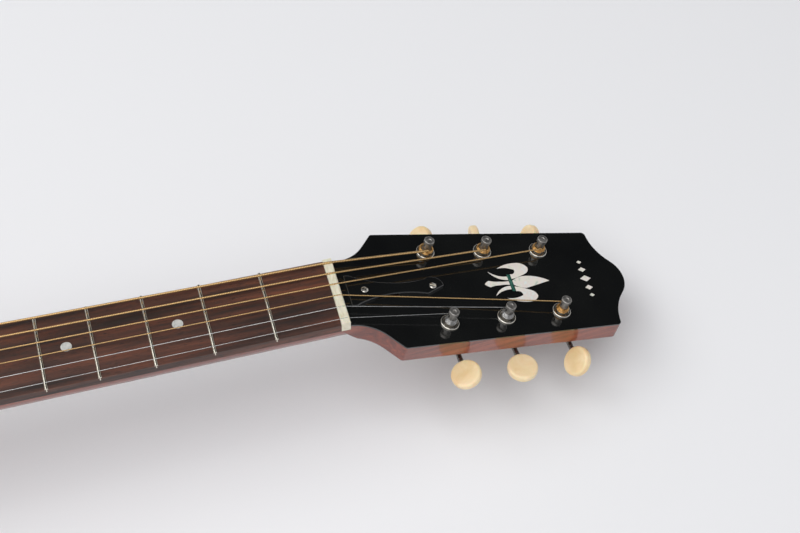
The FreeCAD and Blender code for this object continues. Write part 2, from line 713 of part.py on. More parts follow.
guard_start = ("-holeX + guardInner * cos(guardStart)", "-guardInner * sin(guardStart)")
guard_end = ("-holeX + guardInner * cos(guardEnd)", "-guardInner * sin(guardEnd)")
guard = padded("guard", [
    guard_start + ("guardOuterRadius",), guard_end + ("-guardInner",),
    ("-holeX - guardInner * 1.08", "-guardInner * 1.13", "75"),
    ("-holeX - guardInner * 0.96", "-guardInner * 1.57", "16")], "0", "guardThick")
node("pickguard", "boardFrame", guard)

end_pin = turned("end_pin_shape", [
    ("0", "-endPinLong"), ("endPinShank - 0.8", "-endPinLong"), ("endPinShank", "0"), ("endPinHeadRadius",
                                                                                       "0"),
    ("endPinHeadRadius", "2.5"), ("endPinHeadRadius - 2.2", "endPinOut / 2", "-(endPinOut / 2)"),
    ("endPinHeadRadius - 0.8", "endPinOut - 2.5", "-(endPinOut / 2)"),
    ("endPinShank * 0.5", "endPinOut", "endPinHeadRadius - 1"), ("0", "endPinOut")])
pin_turn = shift("-tailX", "0", "-endPinDrop", "0; 1; 0", "-90")
node("end_pin", "boardFrame", placed("end_pin_placed", end_pin, "rowFrame", pin_turn))


# ---------------------------------------------------------------- fingerboard and frets
def fret_at(number):
    """How far a fret lies from the nut."""
    return "scaleLength * (1 - 2 ^ (-%d / 12))" % number


board_corners = [("-boardEnd", "-(nutWidth / 2 + boardTaper * boardEnd)"), ("0", "-nutWidth / 2"),
                 ("0", "nutWidth / 2"), ("-boardEnd", "nutWidth / 2 + boardTaper * boardEnd")]
board_plan = padded("board_plan", board_corners, "0", "boardThick + fretTall + 5")
board_crown = solid_cylinder("board_crown", "boardRadius", "boardEnd + 40",
                             ("-boardEnd - 20", "0", "boardThick - boardRadius"), Vector(1, 0, 0))
board_blank = boolean("Common", "board_blank", board_plan, board_crown)


def fret_rings():
    """Every fret as a ring round the axis of the board's crown: a rounded bead on a thin tang."""
    radius, tall = value("boardRadius"), value("fretTall")
    half, tang = value("fretWide / 2"), value("tangThick / 2")
    axis = Vector(0, 0, value("boardThick - boardRadius"))
    rings = []
    for number in range(1, int(value("fretCount")) + 1):
        x = -value(fret_at(number))
        low, face = radius - value("tangDeep"), radius
        corners = [(-tang, low), (tang, low), (tang, face), (half, face), (0, face + tall), (-half, face),
                   (-tang, face)]
        points = [Vector(x + across, 0, axis.z + up) for across, up in corners]
        edges = [Part.makeLine(points[i], points[i + 1]) for i in range(3)]
        edges.append(Part.Arc(points[3], points[4], points[5]).toShape())
        edges += [Part.makeLine(points[5], points[6]), Part.makeLine(points[6], points[0])]
        face_shape = Part.Face(Part.Wire(edges))
        face_shape.rotate(axis, Vector(1, 0, 0), -9)
        rings.append(face_shape.revolve(axis, Vector(1, 0, 0), 18))
    return Part.makeCompound(rings)


doc.recompute()
fret_blanks = plain_shape("fret_blanks", fret_rings())
node("frets", "boardFrame", boolean("Common", "frets_cut", fret_blanks, board_plan))

dots = []
for number in (3, 5, 7, 9, 12, 15, 17):
    middle = "-(%s + %s) / 2" % (fret_at(number), fret_at(number - 1))
    places = ["-twinDotOffset", "twinDotOffset"] if number == 12 else ["0"]
    for count, across in enumerate(places):
        name = "dot_%d_%d" % (number, count + 1)
        dots.append(solid_cylinder(name, "dotRadius", "boardThick",
                                   (middle, across, "boardThick - dotDeep")))
        # a small dot in the bass edge of the board shows the same place
        edge = "nutWidth / 2 - boardTaper * %s" % middle
        shifted = "%s %+g" % (middle, 4 * count)
        dots.append(solid_cylinder("side_" + name, "sideDotRadius", "dotDeep + 2",
                                   (shifted, "%s - dotDeep" % edge, "boardThick * 0.45"), Vector(0, 1, 0)))
dot_set = compound("dot_set", *dots)
node("position_dots", "boardFrame", boolean("Common", "dots_cut", board_blank, dot_set))
node("fingerboard", "boardFrame", boolean("Cut", "board_cut", board_blank, fret_blanks, dot_set))

# ---------------------------------------------------------------- nut and strings
# name: (place counted from the bass side, diameter, wound)
STRINGS = [("E", 1.35, True), ("A", 1.07, True), ("D", 0.81, True), ("G", 0.61, True), ("B", 0.41, False),
           ("e", 0.3, False)]


def string_path(index, thick):
    """The corners of a string: by its pin, over the saddle, over the nut, to its post."""
    share = 0.5 - index / 5
    nut_y, saddle_y = value("nutSpacing") * share, value("saddleSpacing") * share
    radius = value("boardRadius")
    nut_z = value("boardThick + fretTall + nutAction") - nut_y ** 2 / (2 * radius) + thick / 2
    saddle_z = value("saddleTop") - saddle_y ** 2 / (2 * radius) + thick / 2
    saddle_x = -value("saddleX") - saddle_y * math.tan(math.radians(value("saddleSlant")))
    pin_x = -value("pinX") + value("pinHeadRadius") + thick
    side, post = ("bass", index + 1) if index < 3 else ("treble", 6 - index)
    row = doc.getObject("row_%s_%d" % (side, post)).Placement
    row = doc.getObject("boardFrame").Placement.inverse().multiply(row)
    inner = -SIDES[side] * (value("postWaist") + thick / 2 + 0.3)
    return [Vector(pin_x, saddle_y, value("bridgeThick") + thick / 2 + 0.05),
            Vector(saddle_x, saddle_y, saddle_z), Vector(value("nutThick") * 0.6, nut_y, nut_z),
            row.multVec(Vector(0, inner, value("windingHeight")))]


def tube(points, thick, bend):
    """A round cord along straight runs joined by tangent arcs of one radius."""
    edges, here = [], points[0]
    for before, corner, after in zip(points, points[1:], points[2:]):
        back, ahead = (before - corner).normalize(), (after - corner).normalize()
        half_turn = (math.pi - back.getAngle(ahead)) / 2
        cut = bend * math.tan(half_turn)
        first, last = corner + back * cut, corner + ahead * cut
        inward = (back + ahead).normalize()
        middle = corner + inward * (bend / math.cos(half_turn) - bend)
        edges += [Part.makeLine(here, first), Part.Arc(first, middle, last).toShape()]
        here = last
    edges.append(Part.makeLine(here, points[-1]))
    ring = Part.Wire(Part.makeCircle(thick / 2, points[0], points[1] - points[0]))
    return Part.Wire(edges).makePipeShell([ring], True, True)


STRING_BEND = 5
cords, grooves = {True: [], False: []}, []
for index, (name, thick, wound) in enumerate(STRINGS):
    route = string_path(index, thick)
    cord = tube(route, thick, STRING_BEND)
    groove_shape = tube(route, thick + 2 * value("stringFit"), STRING_BEND)
    grooves.append(plain_shape("saddle_groove_%d" % (index + 1), groove_shape))
    cords[wound].append(plain_shape("string_" + ("low_" if index == 0 else "") + name, cord))
node("wound_strings", "boardFrame", *cords[True])
node("plain_strings", "boardFrame", *cords[False])
node("saddle", "boardFrame", boolean("Cut", "saddle_cut", saddle_arched, compound("saddle_grooves",
                                                                                  *grooves)))

nut_blank = padded("nut_blank", [
    ("-nutWidth / 2", "0"), ("nutWidth / 2", "0"), ("nutWidth / 2", "boardThick + nutRise"),
    ("-nutWidth / 2", "boardThick + nutRise")], "0", "nutThick", "YZ_Plane")
nut_crown = solid_cylinder("nut_crown", "boardRadius", "2 * nutThick",
                           ("-nutThick / 2", "0", "boardThick + nutRise - boardRadius"), Vector(1, 0, 0))
fillet_edges(nut_blank, "nut_round", "nutThick * 0.25", lambda edge: edge.BoundBox.ZMin > 1 and
             edge.BoundBox.XMin > value("nutThick") - 0.1)
slots = []
for index, (name, thick, wound) in enumerate(STRINGS):
    path = string_path(index, thick)
    low, high = path[1] + (path[2] - path[1]) * 0.99, path[2] + (path[3] - path[2]) * 0.2
    room = tube([low, path[2], high], thick + 0.04, 5)
    slots.append(plain_shape("nut_slot_%d" % (index + 1), room))
    over = room.copy()
    over.translate(Vector(0, 0, thick * 0.6))
    slots.append(plain_shape("nut_slot_top_%d" % (index + 1), over))
node("nut", "boardFrame",
     boolean("Cut", "nut_cut", boolean("Common", "nut_arched", nut_blank, nut_crown), compound("nut_slots",
                                                                                               *slots)))


# ---------------------------------------------------------------- head
def round_corner(corner_u, corner_v):
    """True for the upright edges of the head's blank at a given place, on either side."""
    place = (value(corner_u), value(corner_v))

    def chosen(edge):
        box = edge.BoundBox
        upright = box.XLength < 0.01 and box.YLength < 0.01
        return upright and math.hypot(box.XMin - place[0], abs(box.YMin) - place[1]) < 0.5
    return chosen


head_blank = padded("head_blank", mirrored([
    ("crestCentreU + (scoopU - crestCentreU) * crestPart", "scoopV * crestPart", "crestRadius"),
    ("cornerU", "cornerV", "-scoopRadius"),
    ("earU", "earV"),
    ("shoulderEndU", "shoulderEndV"),
    ("shoulderEndU - shoulderRadius * sin(shoulderAngle)", "nutWidth / 2", "-shoulderRadius"),
    ("-nutThick", "nutWidth / 2"),
]), "-headThick", "0")
fillet_edges(head_blank, "ear_round", "cornerRound", round_corner("earU", "earV"))
fillet_edges(head_blank, "corner_round", "cornerRound", round_corner("cornerU", "cornerV"))
fillet_edges(head_blank, "back_round", "backRound",
             lambda edge: edge.BoundBox.ZMax < value("0.01 - headThick") and edge.BoundBox.XMax > 0.1)
veneer_slab = solid_box("veneer_slab", ("-3 * nutThick", "-2 * earV", "-veneerThick"),
                        ("2 * headLength", "2 * earV", "3 * headThick"))
veneer_blank = boolean("Common", "veneer_blank", head_blank, veneer_slab)
head_wood = boolean("Cut", "head_wood", head_blank, veneer_slab)
# nothing of the head reaches past the front of the nut
nut_room = doc.addObject("Part::Box", "nut_room")
bind(nut_room, Length="8 * nutThick", Width="4 * earV", Height="4 * headThick")
nut_room.setExpression("Placement", "minvert(headInBoard.Placement) * "
                       + shift("-7 * nutThick", "-2 * earV", "-2 * headThick"))

# post holes
bores, wells = [], []
for side in SIDES:
    for post in range(1, 4):
        name = "%s_%d" % (side, post)
        place = "minvert(headFrame.Placement) * row_%s.Placement * " % name
        bore = doc.addObject("Part::Cylinder", "bore_" + name)
        bind(bore, Radius="postRadius + 0.4", Height="3 * headThick")
        bore.setExpression("Placement", place + shift("0", "0", "-2 * headThick"))
        well = doc.addObject("Part::Cylinder", "well_" + name)
        bind(well, Radius="sleeveRadius", Height="2 * sleeveLong")
        well.setExpression("Placement", place + shift("0", "0", "-sleeveLong"))
        bores.append(bore)
        wells.append(well)

# the plate screws' places along a row, and their holes in the head
PLATE_SCREWS = ("-plateBefore + 4.5", "postSpacing - plateBefore + 1", "2 * postSpacing - plateBefore + 1",
                "2 * postSpacing + plateAfter - 4.5")
pilots = []
for side in SIDES:
    for count, along in enumerate(PLATE_SCREWS):
        pilot = doc.addObject("Part::Cylinder", "pilot_%s_%d" % (side, count + 1))
        bind(pilot, Radius="plateScrewRadius + runFit", Height="plateScrewLong")
        pilot.setExpression("Placement", "minvert(headFrame.Placement) * row_%s_1.Placement * " % side
                            + shift(along, "0", "-plateLow - plateScrewSunk"))
        pilots.append(pilot)

# inlays: a three-leaf ornament with a band, and a row of lozenges towards the tip
middle_leaf = padded("middle_leaf", mirrored([
    ("ornamentU + 23.5", "0"), ("ornamentU + 8", "4.3", "24"), ("ornamentU + inlayJoint", "1.6", "16")]),
    "-inlayDeep", "0")
foot_leaf = padded("foot_leaf", mirrored([
    ("ornamentU - inlayJoint", "1.3"), ("ornamentU - 7", "1.3", "-20"), ("ornamentU - 13", "2.3", "-14"),
    ("ornamentU - 16", "0", "6")]), "-inlayDeep", "0")
leaves = [middle_leaf, foot_leaf]
OUTER_LEAF = [("inlayJoint", "2.6"), ("10.8", "6.2", "40"), ("13.2", "10.2", "4.5"),
              ("7", "14", "6.5"), ("-5.6", "10.6", "22"), ("4.4", "9.2", "-15"), ("inlayJoint", "6.2",
                                                                                  "-2.5")]
OUTER_FOOT = [("-inlayJoint", "2.1", "12"), ("-inlayJoint", "4.6"), ("-11.8", "8.9", "-14")]
for side, sign in SIDES.items():
    for name, corners in (("outer_leaf_", OUTER_LEAF), ("outer_foot_", OUTER_FOOT)):
        shape = [("ornamentU + (%s)" % corner[0], "%d * (%s)" % (sign, corner[1])) + tuple(
            "%d * (%s)" % (sign, radius) for radius in corner[2:]) for corner in corners]
        leaves.append(padded(name + side, shape, "-inlayDeep", "0"))
ornament = compound("ornament", *leaves)
band = padded("band", [("ornamentU - bandHalf", "-6"), ("ornamentU + bandHalf", "-6"),
                       ("ornamentU + bandHalf", "6"), ("ornamentU - bandHalf", "6")], "-inlayDeep", "0")
lozenges = []
for count, (across, long, wide) in enumerate([(-12, 1.6, 2.4), (-6.5, 2.4, 3.4), (0, 3.4, 4.4), (6.5, 2.4,
                                                                                                 3.4),
                                              (12, 1.6, 2.4)]):
    lozenges.append(padded("lozenge_%d" % (count + 1), [
        ("crestU + %g" % long, "%g" % across), ("crestU", "%g" % (across + wide / 2)),
        ("crestU - %g" % long, "%g" % across), ("crestU", "%g" % (across - wide / 2))], "-inlayDeep", "0"))
crest = compound("crest", *lozenges)

# the pocket for the truss rod's nut, in the veneer and the neck
pocket = solid_box("pocket", ("nutThick + pocketStart", "-pocketWide / 2",
                              "-(rodDrop + rodNutRadius + pocketRoom)"),
                   ("nutThick + pocketStart + pocketLong", "pocketWide / 2", "headRise + 5"))
pocket_in_head = doc.addObject("Part::Compound", "pocket_in_head")
pocket_in_head.Links = [pocket]
pocket_in_head.setExpression("Placement", "minvert(headInBoard.Placement)")
screw_holes = []
for name, along in (("near", "coverScrewNear"), ("far", "coverScrewFar")):
    screw_holes.append(solid_cylinder("cover_hole_" + name, "coverScrewRadius + runFit", "coverScrewBite + 1",
                                      (along, "0", "-coverScrewBite")))
node("head_veneer", "headFrame", boolean("Cut", "veneer_cut", veneer_blank, nut_room, pocket_in_head,
                                         ornament,
                                         band, crest, *(wells + screw_holes)))
node("head_ornament", "headFrame", ornament)
node("ornament_band", "headFrame", band)
node("head_crest", "headFrame", crest)

cover = padded("cover", mirrored([
    ("coverEnd", "0"), ("coverEnd - coverTopRadius * 1.6", "coverTopRadius * 0.8", "coverTopRadius"),
    ("coverStart + 3", "coverHalf", "-62"), ("coverStart", "coverHalf")]), "0", "coverThick")
fillet_edges(cover, "cover_round", "coverThick / 3",
             lambda edge: edge.BoundBox.ZMin > value("coverThick") - 0.01)
seats = []
for name, along in (("near", "coverScrewNear"), ("far", "coverScrewFar")):
    seat = doc.addObject("Part::Cone", "cover_seat_" + name)
    bind(seat, Radius1="coverScrewRadius", Radius2="coverScrewHead", Height="coverScrewTall",
         Placement_Base_x=along, Placement_Base_z="coverThick - coverScrewTall")
    shank_hole = solid_cylinder("cover_shank_" + name, "coverScrewRadius", "coverThick", (along, "0", "0"))
    seats.append(boolean("Fuse", "cover_screw_room_" + name, seat, shank_hole))
node("truss_rod_cover", "headFrame", boolean("Cut", "cover_cut", cover, *seats))


def screw(name, long, shank, head, head_tall):
    """A small countersunk screw with its head's rim at z = 0 and a straight slot across its domed head."""
    dome, flat = "(%s) * 0.25" % head, "(%s) * 0.3" % head
    shape = turned(name, [
        ("0", "-(%s)" % long), ("%s * 0.3" % shank, "-(%s)" % long), (shank, "-(%s) + 1.5" % long),
        (shank, "-(%s)" % head_tall), (head, "0"), (flat, dome, "(%s) * 2.2" % head), ("0", dome)])
    slot = solid_box(name + "_slot", ("-4", "-0.3", "0.05"), ("4", "0.3", "2"))
    return boolean("Cut", name + "_slotted", shape, slot)


cover_screw = screw("cover_screw", "coverThick + coverScrewBite", "coverScrewRadius", "coverScrewHead",
                    "coverScrewTall")
node("cover_screws", "headFrame", *[
    placed("cover_screw_" + name, cover_screw, "rowFrame", shift(along, "0", "coverThick", angle=turn))
    for name, along, turn in (("near", "coverScrewNear", "35"), ("far", "coverScrewFar", "-20"))])

# ---------------------------------------------------------------- neck
def half_round(half, deep):
    """The section of the neck: flat on top, half an ellipse below, in the y-z plane."""
    upright = FreeCAD.Placement(Vector(0, 0, 0), FreeCAD.Rotation(Vector(0, 1, 0), Vector(0, 0, 1),
                                                                  Vector(1, 0, 0)))
    across = deep <= half
    ellipse = Part.Ellipse(Vector(0, 0, 0), max(half, deep), min(half, deep))
    if across:
        curve = ellipse.toShape(math.pi, 2 * math.pi)
    else:
        curve = ellipse.toShape(-math.pi / 2, math.pi / 2)
        curve.rotate(Vector(0, 0, 0), Vector(0, 0, 1), -90)
    wire = Part.Wire([curve, Part.makeLine(Vector(half, 0, 0), Vector(-half, 0, 0))])
    wire.Placement = upright
    return wire


def at(wire, place, turn=0):
    """A section stood at a place and leaned back about the y axis."""
    copy = wire.copy()
    copy.Placement = FreeCAD.Placement(place, FreeCAD.Rotation(Vector(0, 1, 0),
                                                               turn)).multiply(copy.Placement)
    return copy


def neck_shaft():
    """From under the head to where the heel begins, straight between its two end sections."""
    half, deep = value("nutWidth / 2"), value("neckDepthNut")
    angle = math.radians(value("headAngle"))
    under = value("headRise - headThick / cos(headAngle)")
    head_end = value("nutThick") + (under + deep) / math.tan(angle) + 4
    heel = -value("jointX - heelStart")
    growth = value("neckDepthJoint - neckDepthNut") / value("jointX")
    sections = [at(half_round(half, deep), Vector(head_end, 0, 0)), at(half_round(half, deep), Vector(0, 0,
                                                                                                      0)),
                at(half_round(half - value("boardTaper") * heel, deep - growth * heel), Vector(heel, 0, 0))]
    return Part.makeLoft(sections, True, True)


def neck_heel():
    """Sections fanned round the heel's inner curve, then carried down to the heel's tip."""
    heel = value("jointX - heelStart")
    half = value("nutWidth / 2") + value("boardTaper") * heel
    deep = value("neckDepthNut") + value("neckDepthJoint - neckDepthNut") / value("jointX") * heel
    radius, tip = value("heelRadius"), value("heelTipHalf")
    centre = Vector(-heel, 0, -(deep + radius))
    wood = value("heelStart + sideThick")
    sections = []
    for step in range(7):
        turn = math.radians(15 * step)
        # the flat side of each section reaches out to the body's corner, in part
        reach = min((deep + radius) / max(math.cos(turn), 1e-6), wood / max(math.sin(turn), 1e-6))
        width = half + (tip * 1.25 - half) * math.sin(turn) ** 1.2
        place = centre + Vector(-math.sin(turn), 0, math.cos(turn)) * reach
        sections.append(at(half_round(width, reach - radius), place, -math.degrees(turn)))
    last = reach - radius
    for drop, share in ((0.55, 1.12), (1.0, 1.0)):
        z = centre.z + (-value("heelEnd") - centre.z) * drop
        sections.append(at(half_round(tip * share, last - 2 * drop), Vector(centre.x - reach, 0, z), -90))
    return Part.makeLoft(sections, True, False)


shaft = plain_shape("neck_shaft", neck_shaft())
heel = plain_shape("neck_heel", neck_heel())
head_in_board = placed("head_in_board", head_wood, "headInBoard")
tenon = solid_box("tenon", tenon_low, tenon_high)
groove = solid_box("groove", ("-(jointX - rodEnd)", "-rodGroove / 2", "-(rodDrop + rodGroove / 2)"),
                   ("nutThick", "rodGroove / 2", "headRise"))
rod_bore = solid_cylinder("rod_bore", "rodRadius + rodFit", "nutThick + pocketStart + 2", ("-1", "0",
                                                                                           "-rodDrop"),
                          Vector(1, 0, 0))
over_neck = solid_box("over_neck", ("-2 * scaleLength", "-lowerWidth", "0"), ("nutThick", "lowerWidth",
                                                                              "blankDeep"))
veneer_room = doc.addObject("Part::Compound", "veneer_room")
veneer_room.Links = [veneer_slab]
veneer_room.setExpression("Placement", "headInBoard.Placement")
under_cap = solid_box("under_cap", ("-2 * scaleLength", "-lowerWidth", "-2 * blankDeep"),
                      ("0", "lowerWidth", "-heelEnd"))
# the head's wood blends into the round neck inside this cone-like envelope
envelope = plain_shape("envelope", Part.makeLoft([
    at(half_round(value("nutWidth / 2 + 0.1"), value("neckDepthNut")), Vector(-1, 0, 6)),
    at(half_round(value("earV * 1.35"), value("neckDepthNut * 2.3")), Vector(value("earU + 6"), 0,
                                                                             6))], True, True))
far_head = solid_box("far_head", ("earU + 5", "-2 * earV", "-4 * headThick"), ("2 * headLength", "2 * earV",
                                                                               "10"))
head_near = boolean("Common", "head_near", head_in_board, envelope)
head_far = boolean("Common", "head_far", head_in_board, far_head)
holes_in_board = placed("holes_in_board", compound("post_bores", *(bores + wells + screw_holes + pilots)),
                        "headInBoard")
joined = doc.addObject("Part::MultiFuse", "neck_joined")
joined.Shapes = [shaft, heel, head_near, head_far]
trimmed = boolean("Cut", "neck_trimmed", joined, over_neck, veneer_room, whole, under_cap)
with_tenon = boolean("Fuse", "neck_with_tenon", trimmed, tenon)
node("neck", "boardFrame", boolean("Cut", "neck_cut", with_tenon, groove, rod_bore, pocket, holes_in_board))

cap_section = plain_shape("cap_section", Part.Face(at(
    half_round(value("heelTipHalf"), value("heelStart + sideThick - heelRadius - 2")),
    Vector(-value("jointX + sideThick"), 0, -value("heelEnd")), -90)).extrude(Vector(0, 0,
                                                                                     -value("heelCapThick"))))
node("heel_cap", "boardFrame", boolean("Cut", "heel_cap_cut", cap_section, whole))

# ---------------------------------------------------------------- truss rod
rod = solid_cylinder("rod", "rodRadius", "jointX - rodEnd + nutThick + pocketStart + rodNutLong - socketDeep",
                     ("-(jointX - rodEnd)", "0", "-rodDrop"), Vector(1, 0, 0))
anchor = solid_box("anchor", ("-(jointX - rodEnd)", "-rodGroove / 2", "-(rodDrop + rodGroove / 2)"),
                   ("-(jointX - rodEnd) + anchorLong", "rodGroove / 2", "-rodDrop + rodGroove / 2"))
node("truss_rod", "boardFrame", boolean("Fuse", "rod_anchored", rod, anchor))
rod_nut = turned("rod_nut", [
    ("rodRadius + runFit", "0"), ("rodNutRadius - 0.6", "0"), ("rodNutRadius", "0.6", "0.6"),
    ("rodNutRadius", "rodNutLong - 0.6"), ("rodNutRadius - 0.6", "rodNutLong", "0.6"),
    ("rodNutSocket", "rodNutLong"), ("rodNutSocket", "rodNutLong - socketDeep"),
    ("rodRadius + runFit", "rodNutLong - socketDeep - 0.2")])
socket = doc.addObject("Part::Prism", "rod_nut_key")
socket.Polygon = 6
bind(socket, Circumradius="rodNutSocket / cos(30) * 1.01", Height="socketDeep + 0.5",
     Placement_Base_z="rodNutLong - socketDeep")
rod_nut_cut = boolean("Cut", "rod_nut_cut", rod_nut, socket)
frame("rodNutFrame", "boardFrame", shift("nutThick + pocketStart + 0.6", "0", "-rodDrop", "0; 1; 0", "90"))
node("truss_rod_nut", "rodNutFrame", rod_nut_cut)

# ---------------------------------------------------------------- tuners
bushing = turned("bushing", [
    ("postRadius + runFit", "-sleeveLong"), ("sleeveRadius", "-sleeveLong"), ("sleeveRadius", "0"),
    ("flangeRadius", "0"), ("flangeRadius", "flangeThick * 0.5"), ("flangeRadius - 0.5", "flangeThick",
                                                                   "0.5"),
    ("postRadius + 1.1", "flangeThick"), ("postRadius + runFit", "flangeThick - 1.1")])
gear_low, gear_high = "-shaftDrop - gearWide / 2", "-shaftDrop + gearWide / 2"
post_turned = turned("post_turned", [
    ("0", gear_low), ("postWaist", gear_low), ("postWaist", gear_high),
    ("postRadius + 0.3", gear_high), ("postRadius + 0.3", "-plateLow - 0.2"), ("postRadius",
                                                                               "-plateLow - 0.2"),
    ("postRadius", "flangeThick + 0.6"), ("postWaist", "flangeThick + 1.6", "-1.2"),
    ("postWaist", "postTop - postHeadTall - 0.9"), ("postRadius - 0.15", "postTop - postHeadTall", "-1.6"),
    ("postRadius - 0.15", "postTop - 0.4"), ("postRadius - 0.55", "postTop", "0.4"),
    ("dimpleRadius", "postTop"), ("dimpleRadius - 0.3", "postTop - dimpleDeep"), ("0",
                                                                                  "postTop - dimpleDeep")])
string_hole = solid_cylinder("string_hole", "stringHoleRadius", "4 * postRadius",
                             ("-2 * postRadius", "0", "windingHeight + 1.6"), Vector(1, 0, 0))
post_shape = boolean("Cut", "post_shape", post_turned, string_hole)


def gear_outline(z, turn):
    """One face of the gear: straight-flanked teeth, as many as the gear has."""
    teeth, pitch_radius = int(value("gearTeeth")), value("gearCentre - (wormCore + wormOuter) / 2")
    flank = math.tan(math.radians(20))
    corners = []
    for tooth in range(teeth):
        middle = 2 * math.pi * tooth / teeth + turn
        for radius, side in ((value("gearRoot"), -1), (value("gearTip"), -1), (value("gearTip"), 1),
                             (value("gearRoot"), 1)):
            half = value("toothThick / 2") - (radius - pitch_radius) * flank
            angle = middle + side * half / radius
            corners.append(Vector(radius * math.cos(angle), radius * math.sin(angle), z))
    return Part.makePolygon(corners + corners[:1])


def gear_blank():
    """Teeth twisted to the lead of the worm's thread, with a bore for the post."""
    wide, worm_pitch_radius = value("gearWide"), value("(wormCore + wormOuter) / 2")
    pitch_radius = value("gearCentre") - worm_pitch_radius
    twist = value("wormPitch") / (2 * math.pi * worm_pitch_radius) / pitch_radius * wide / 2
    gear = Part.makeLoft([gear_outline(-wide / 2, -twist), gear_outline(wide / 2, twist)], True, True)
    gear.translate(Vector(0, 0, -value("shaftDrop")))
    return gear.cut(Part.makeCylinder(value("postWaist"), 4 * wide, Vector(0, 0,
                                                                           -value("shaftDrop") - 2 * wide)))


def worm_blank():
    """A right-handed thread on a core, its axis along y and its middle at the origin."""
    pitch, turns, core, outer = (value(name) for name in ("wormPitch", "wormTurns", "wormCore", "wormOuter"))
    middle, flank = (core + outer) / 2, math.tan(math.radians(20))
    root = core - 0.15
    low, high = (value("threadThick / 2") - (radius - middle) * flank for radius in (root, outer))
    profile = Part.makePolygon([Vector(root, 0, -low), Vector(outer, 0, -high), Vector(outer, 0, high),
                                Vector(root, 0, low), Vector(root, 0, -low)])
    helix = Part.makeHelix(pitch, pitch * turns, middle)
    thread = Part.Wire(helix.Edges).makePipeShell([profile], True, True)
    worm = Part.makeCylinder(core, pitch * turns).fuse(thread)
    worm = worm.common(Part.makeCylinder(outer + 1, pitch * turns - 0.8, Vector(0, 0, 0.4)))
    worm.translate(Vector(0, 0, -pitch * turns / 2))
    worm.rotate(Vector(0, 0, 0), Vector(1, 0, 0), -90)
    return worm


gear = plain_shape("gear", gear_blank())
worm = plain_shape("worm", worm_blank())
button_disc = turned("button_disc", [
    ("0", "-buttonThick / 2"), ("buttonRadius - buttonRim", "-buttonThick / 2"),
    ("buttonRadius", "-buttonThick / 2 + buttonRim", "buttonRim"), ("buttonRadius",
                                                                    "buttonThick / 2 - buttonRim"),
    ("buttonRadius - buttonRim", "buttonThick / 2", "buttonRim"), ("0", "buttonThick / 2")])
shaft_pieces, button_pieces = {}, {}
for side, sign in SIDES.items():
    out = Vector(0, sign, 0)
    core_end = "wormPitch * wormTurns / 2 - 0.4"
    inner = solid_cylinder("shaft_inner_" + side, "shaftRadius", "earY + earThick + 0.8 - (%s)" % core_end,
                           ("0", "%d * (%s)" % (-sign, core_end), "0"), -out)
    outer = solid_cylinder("shaft_outer_" + side, "shaftRadius",
                           "buttonCentre - buttonRadius + buttonSunk - (%s)" % core_end,
                           ("0", "%d * (%s)" % (sign, core_end), "0"), out)
    rivet = solid_cylinder("rivet_" + side, "shaftRadius + 0.7", "0.8",
                           ("0", "%d * (earY + earThick + runFit)" % -sign, "0"), -out)
    collar = solid_cylinder("collar_" + side, "shaftRadius + 1.1", "1.2",
                            ("0", "%d * (earY + earThick + runFit)" % sign, "0"), out)
    whole_shaft = doc.addObject("Part::MultiFuse", "whole_shaft_" + side)
    whole_shaft.Shapes = [worm, inner, outer, rivet, collar]
    shaft_pieces[side] = whole_shaft
    disc = placed("disc_" + side, button_disc, "rowFrame", shift("0", "%d * buttonCentre" % sign, "0"))
    button_pieces[side] = boolean("Cut", "button_bored_" + side, disc, outer)

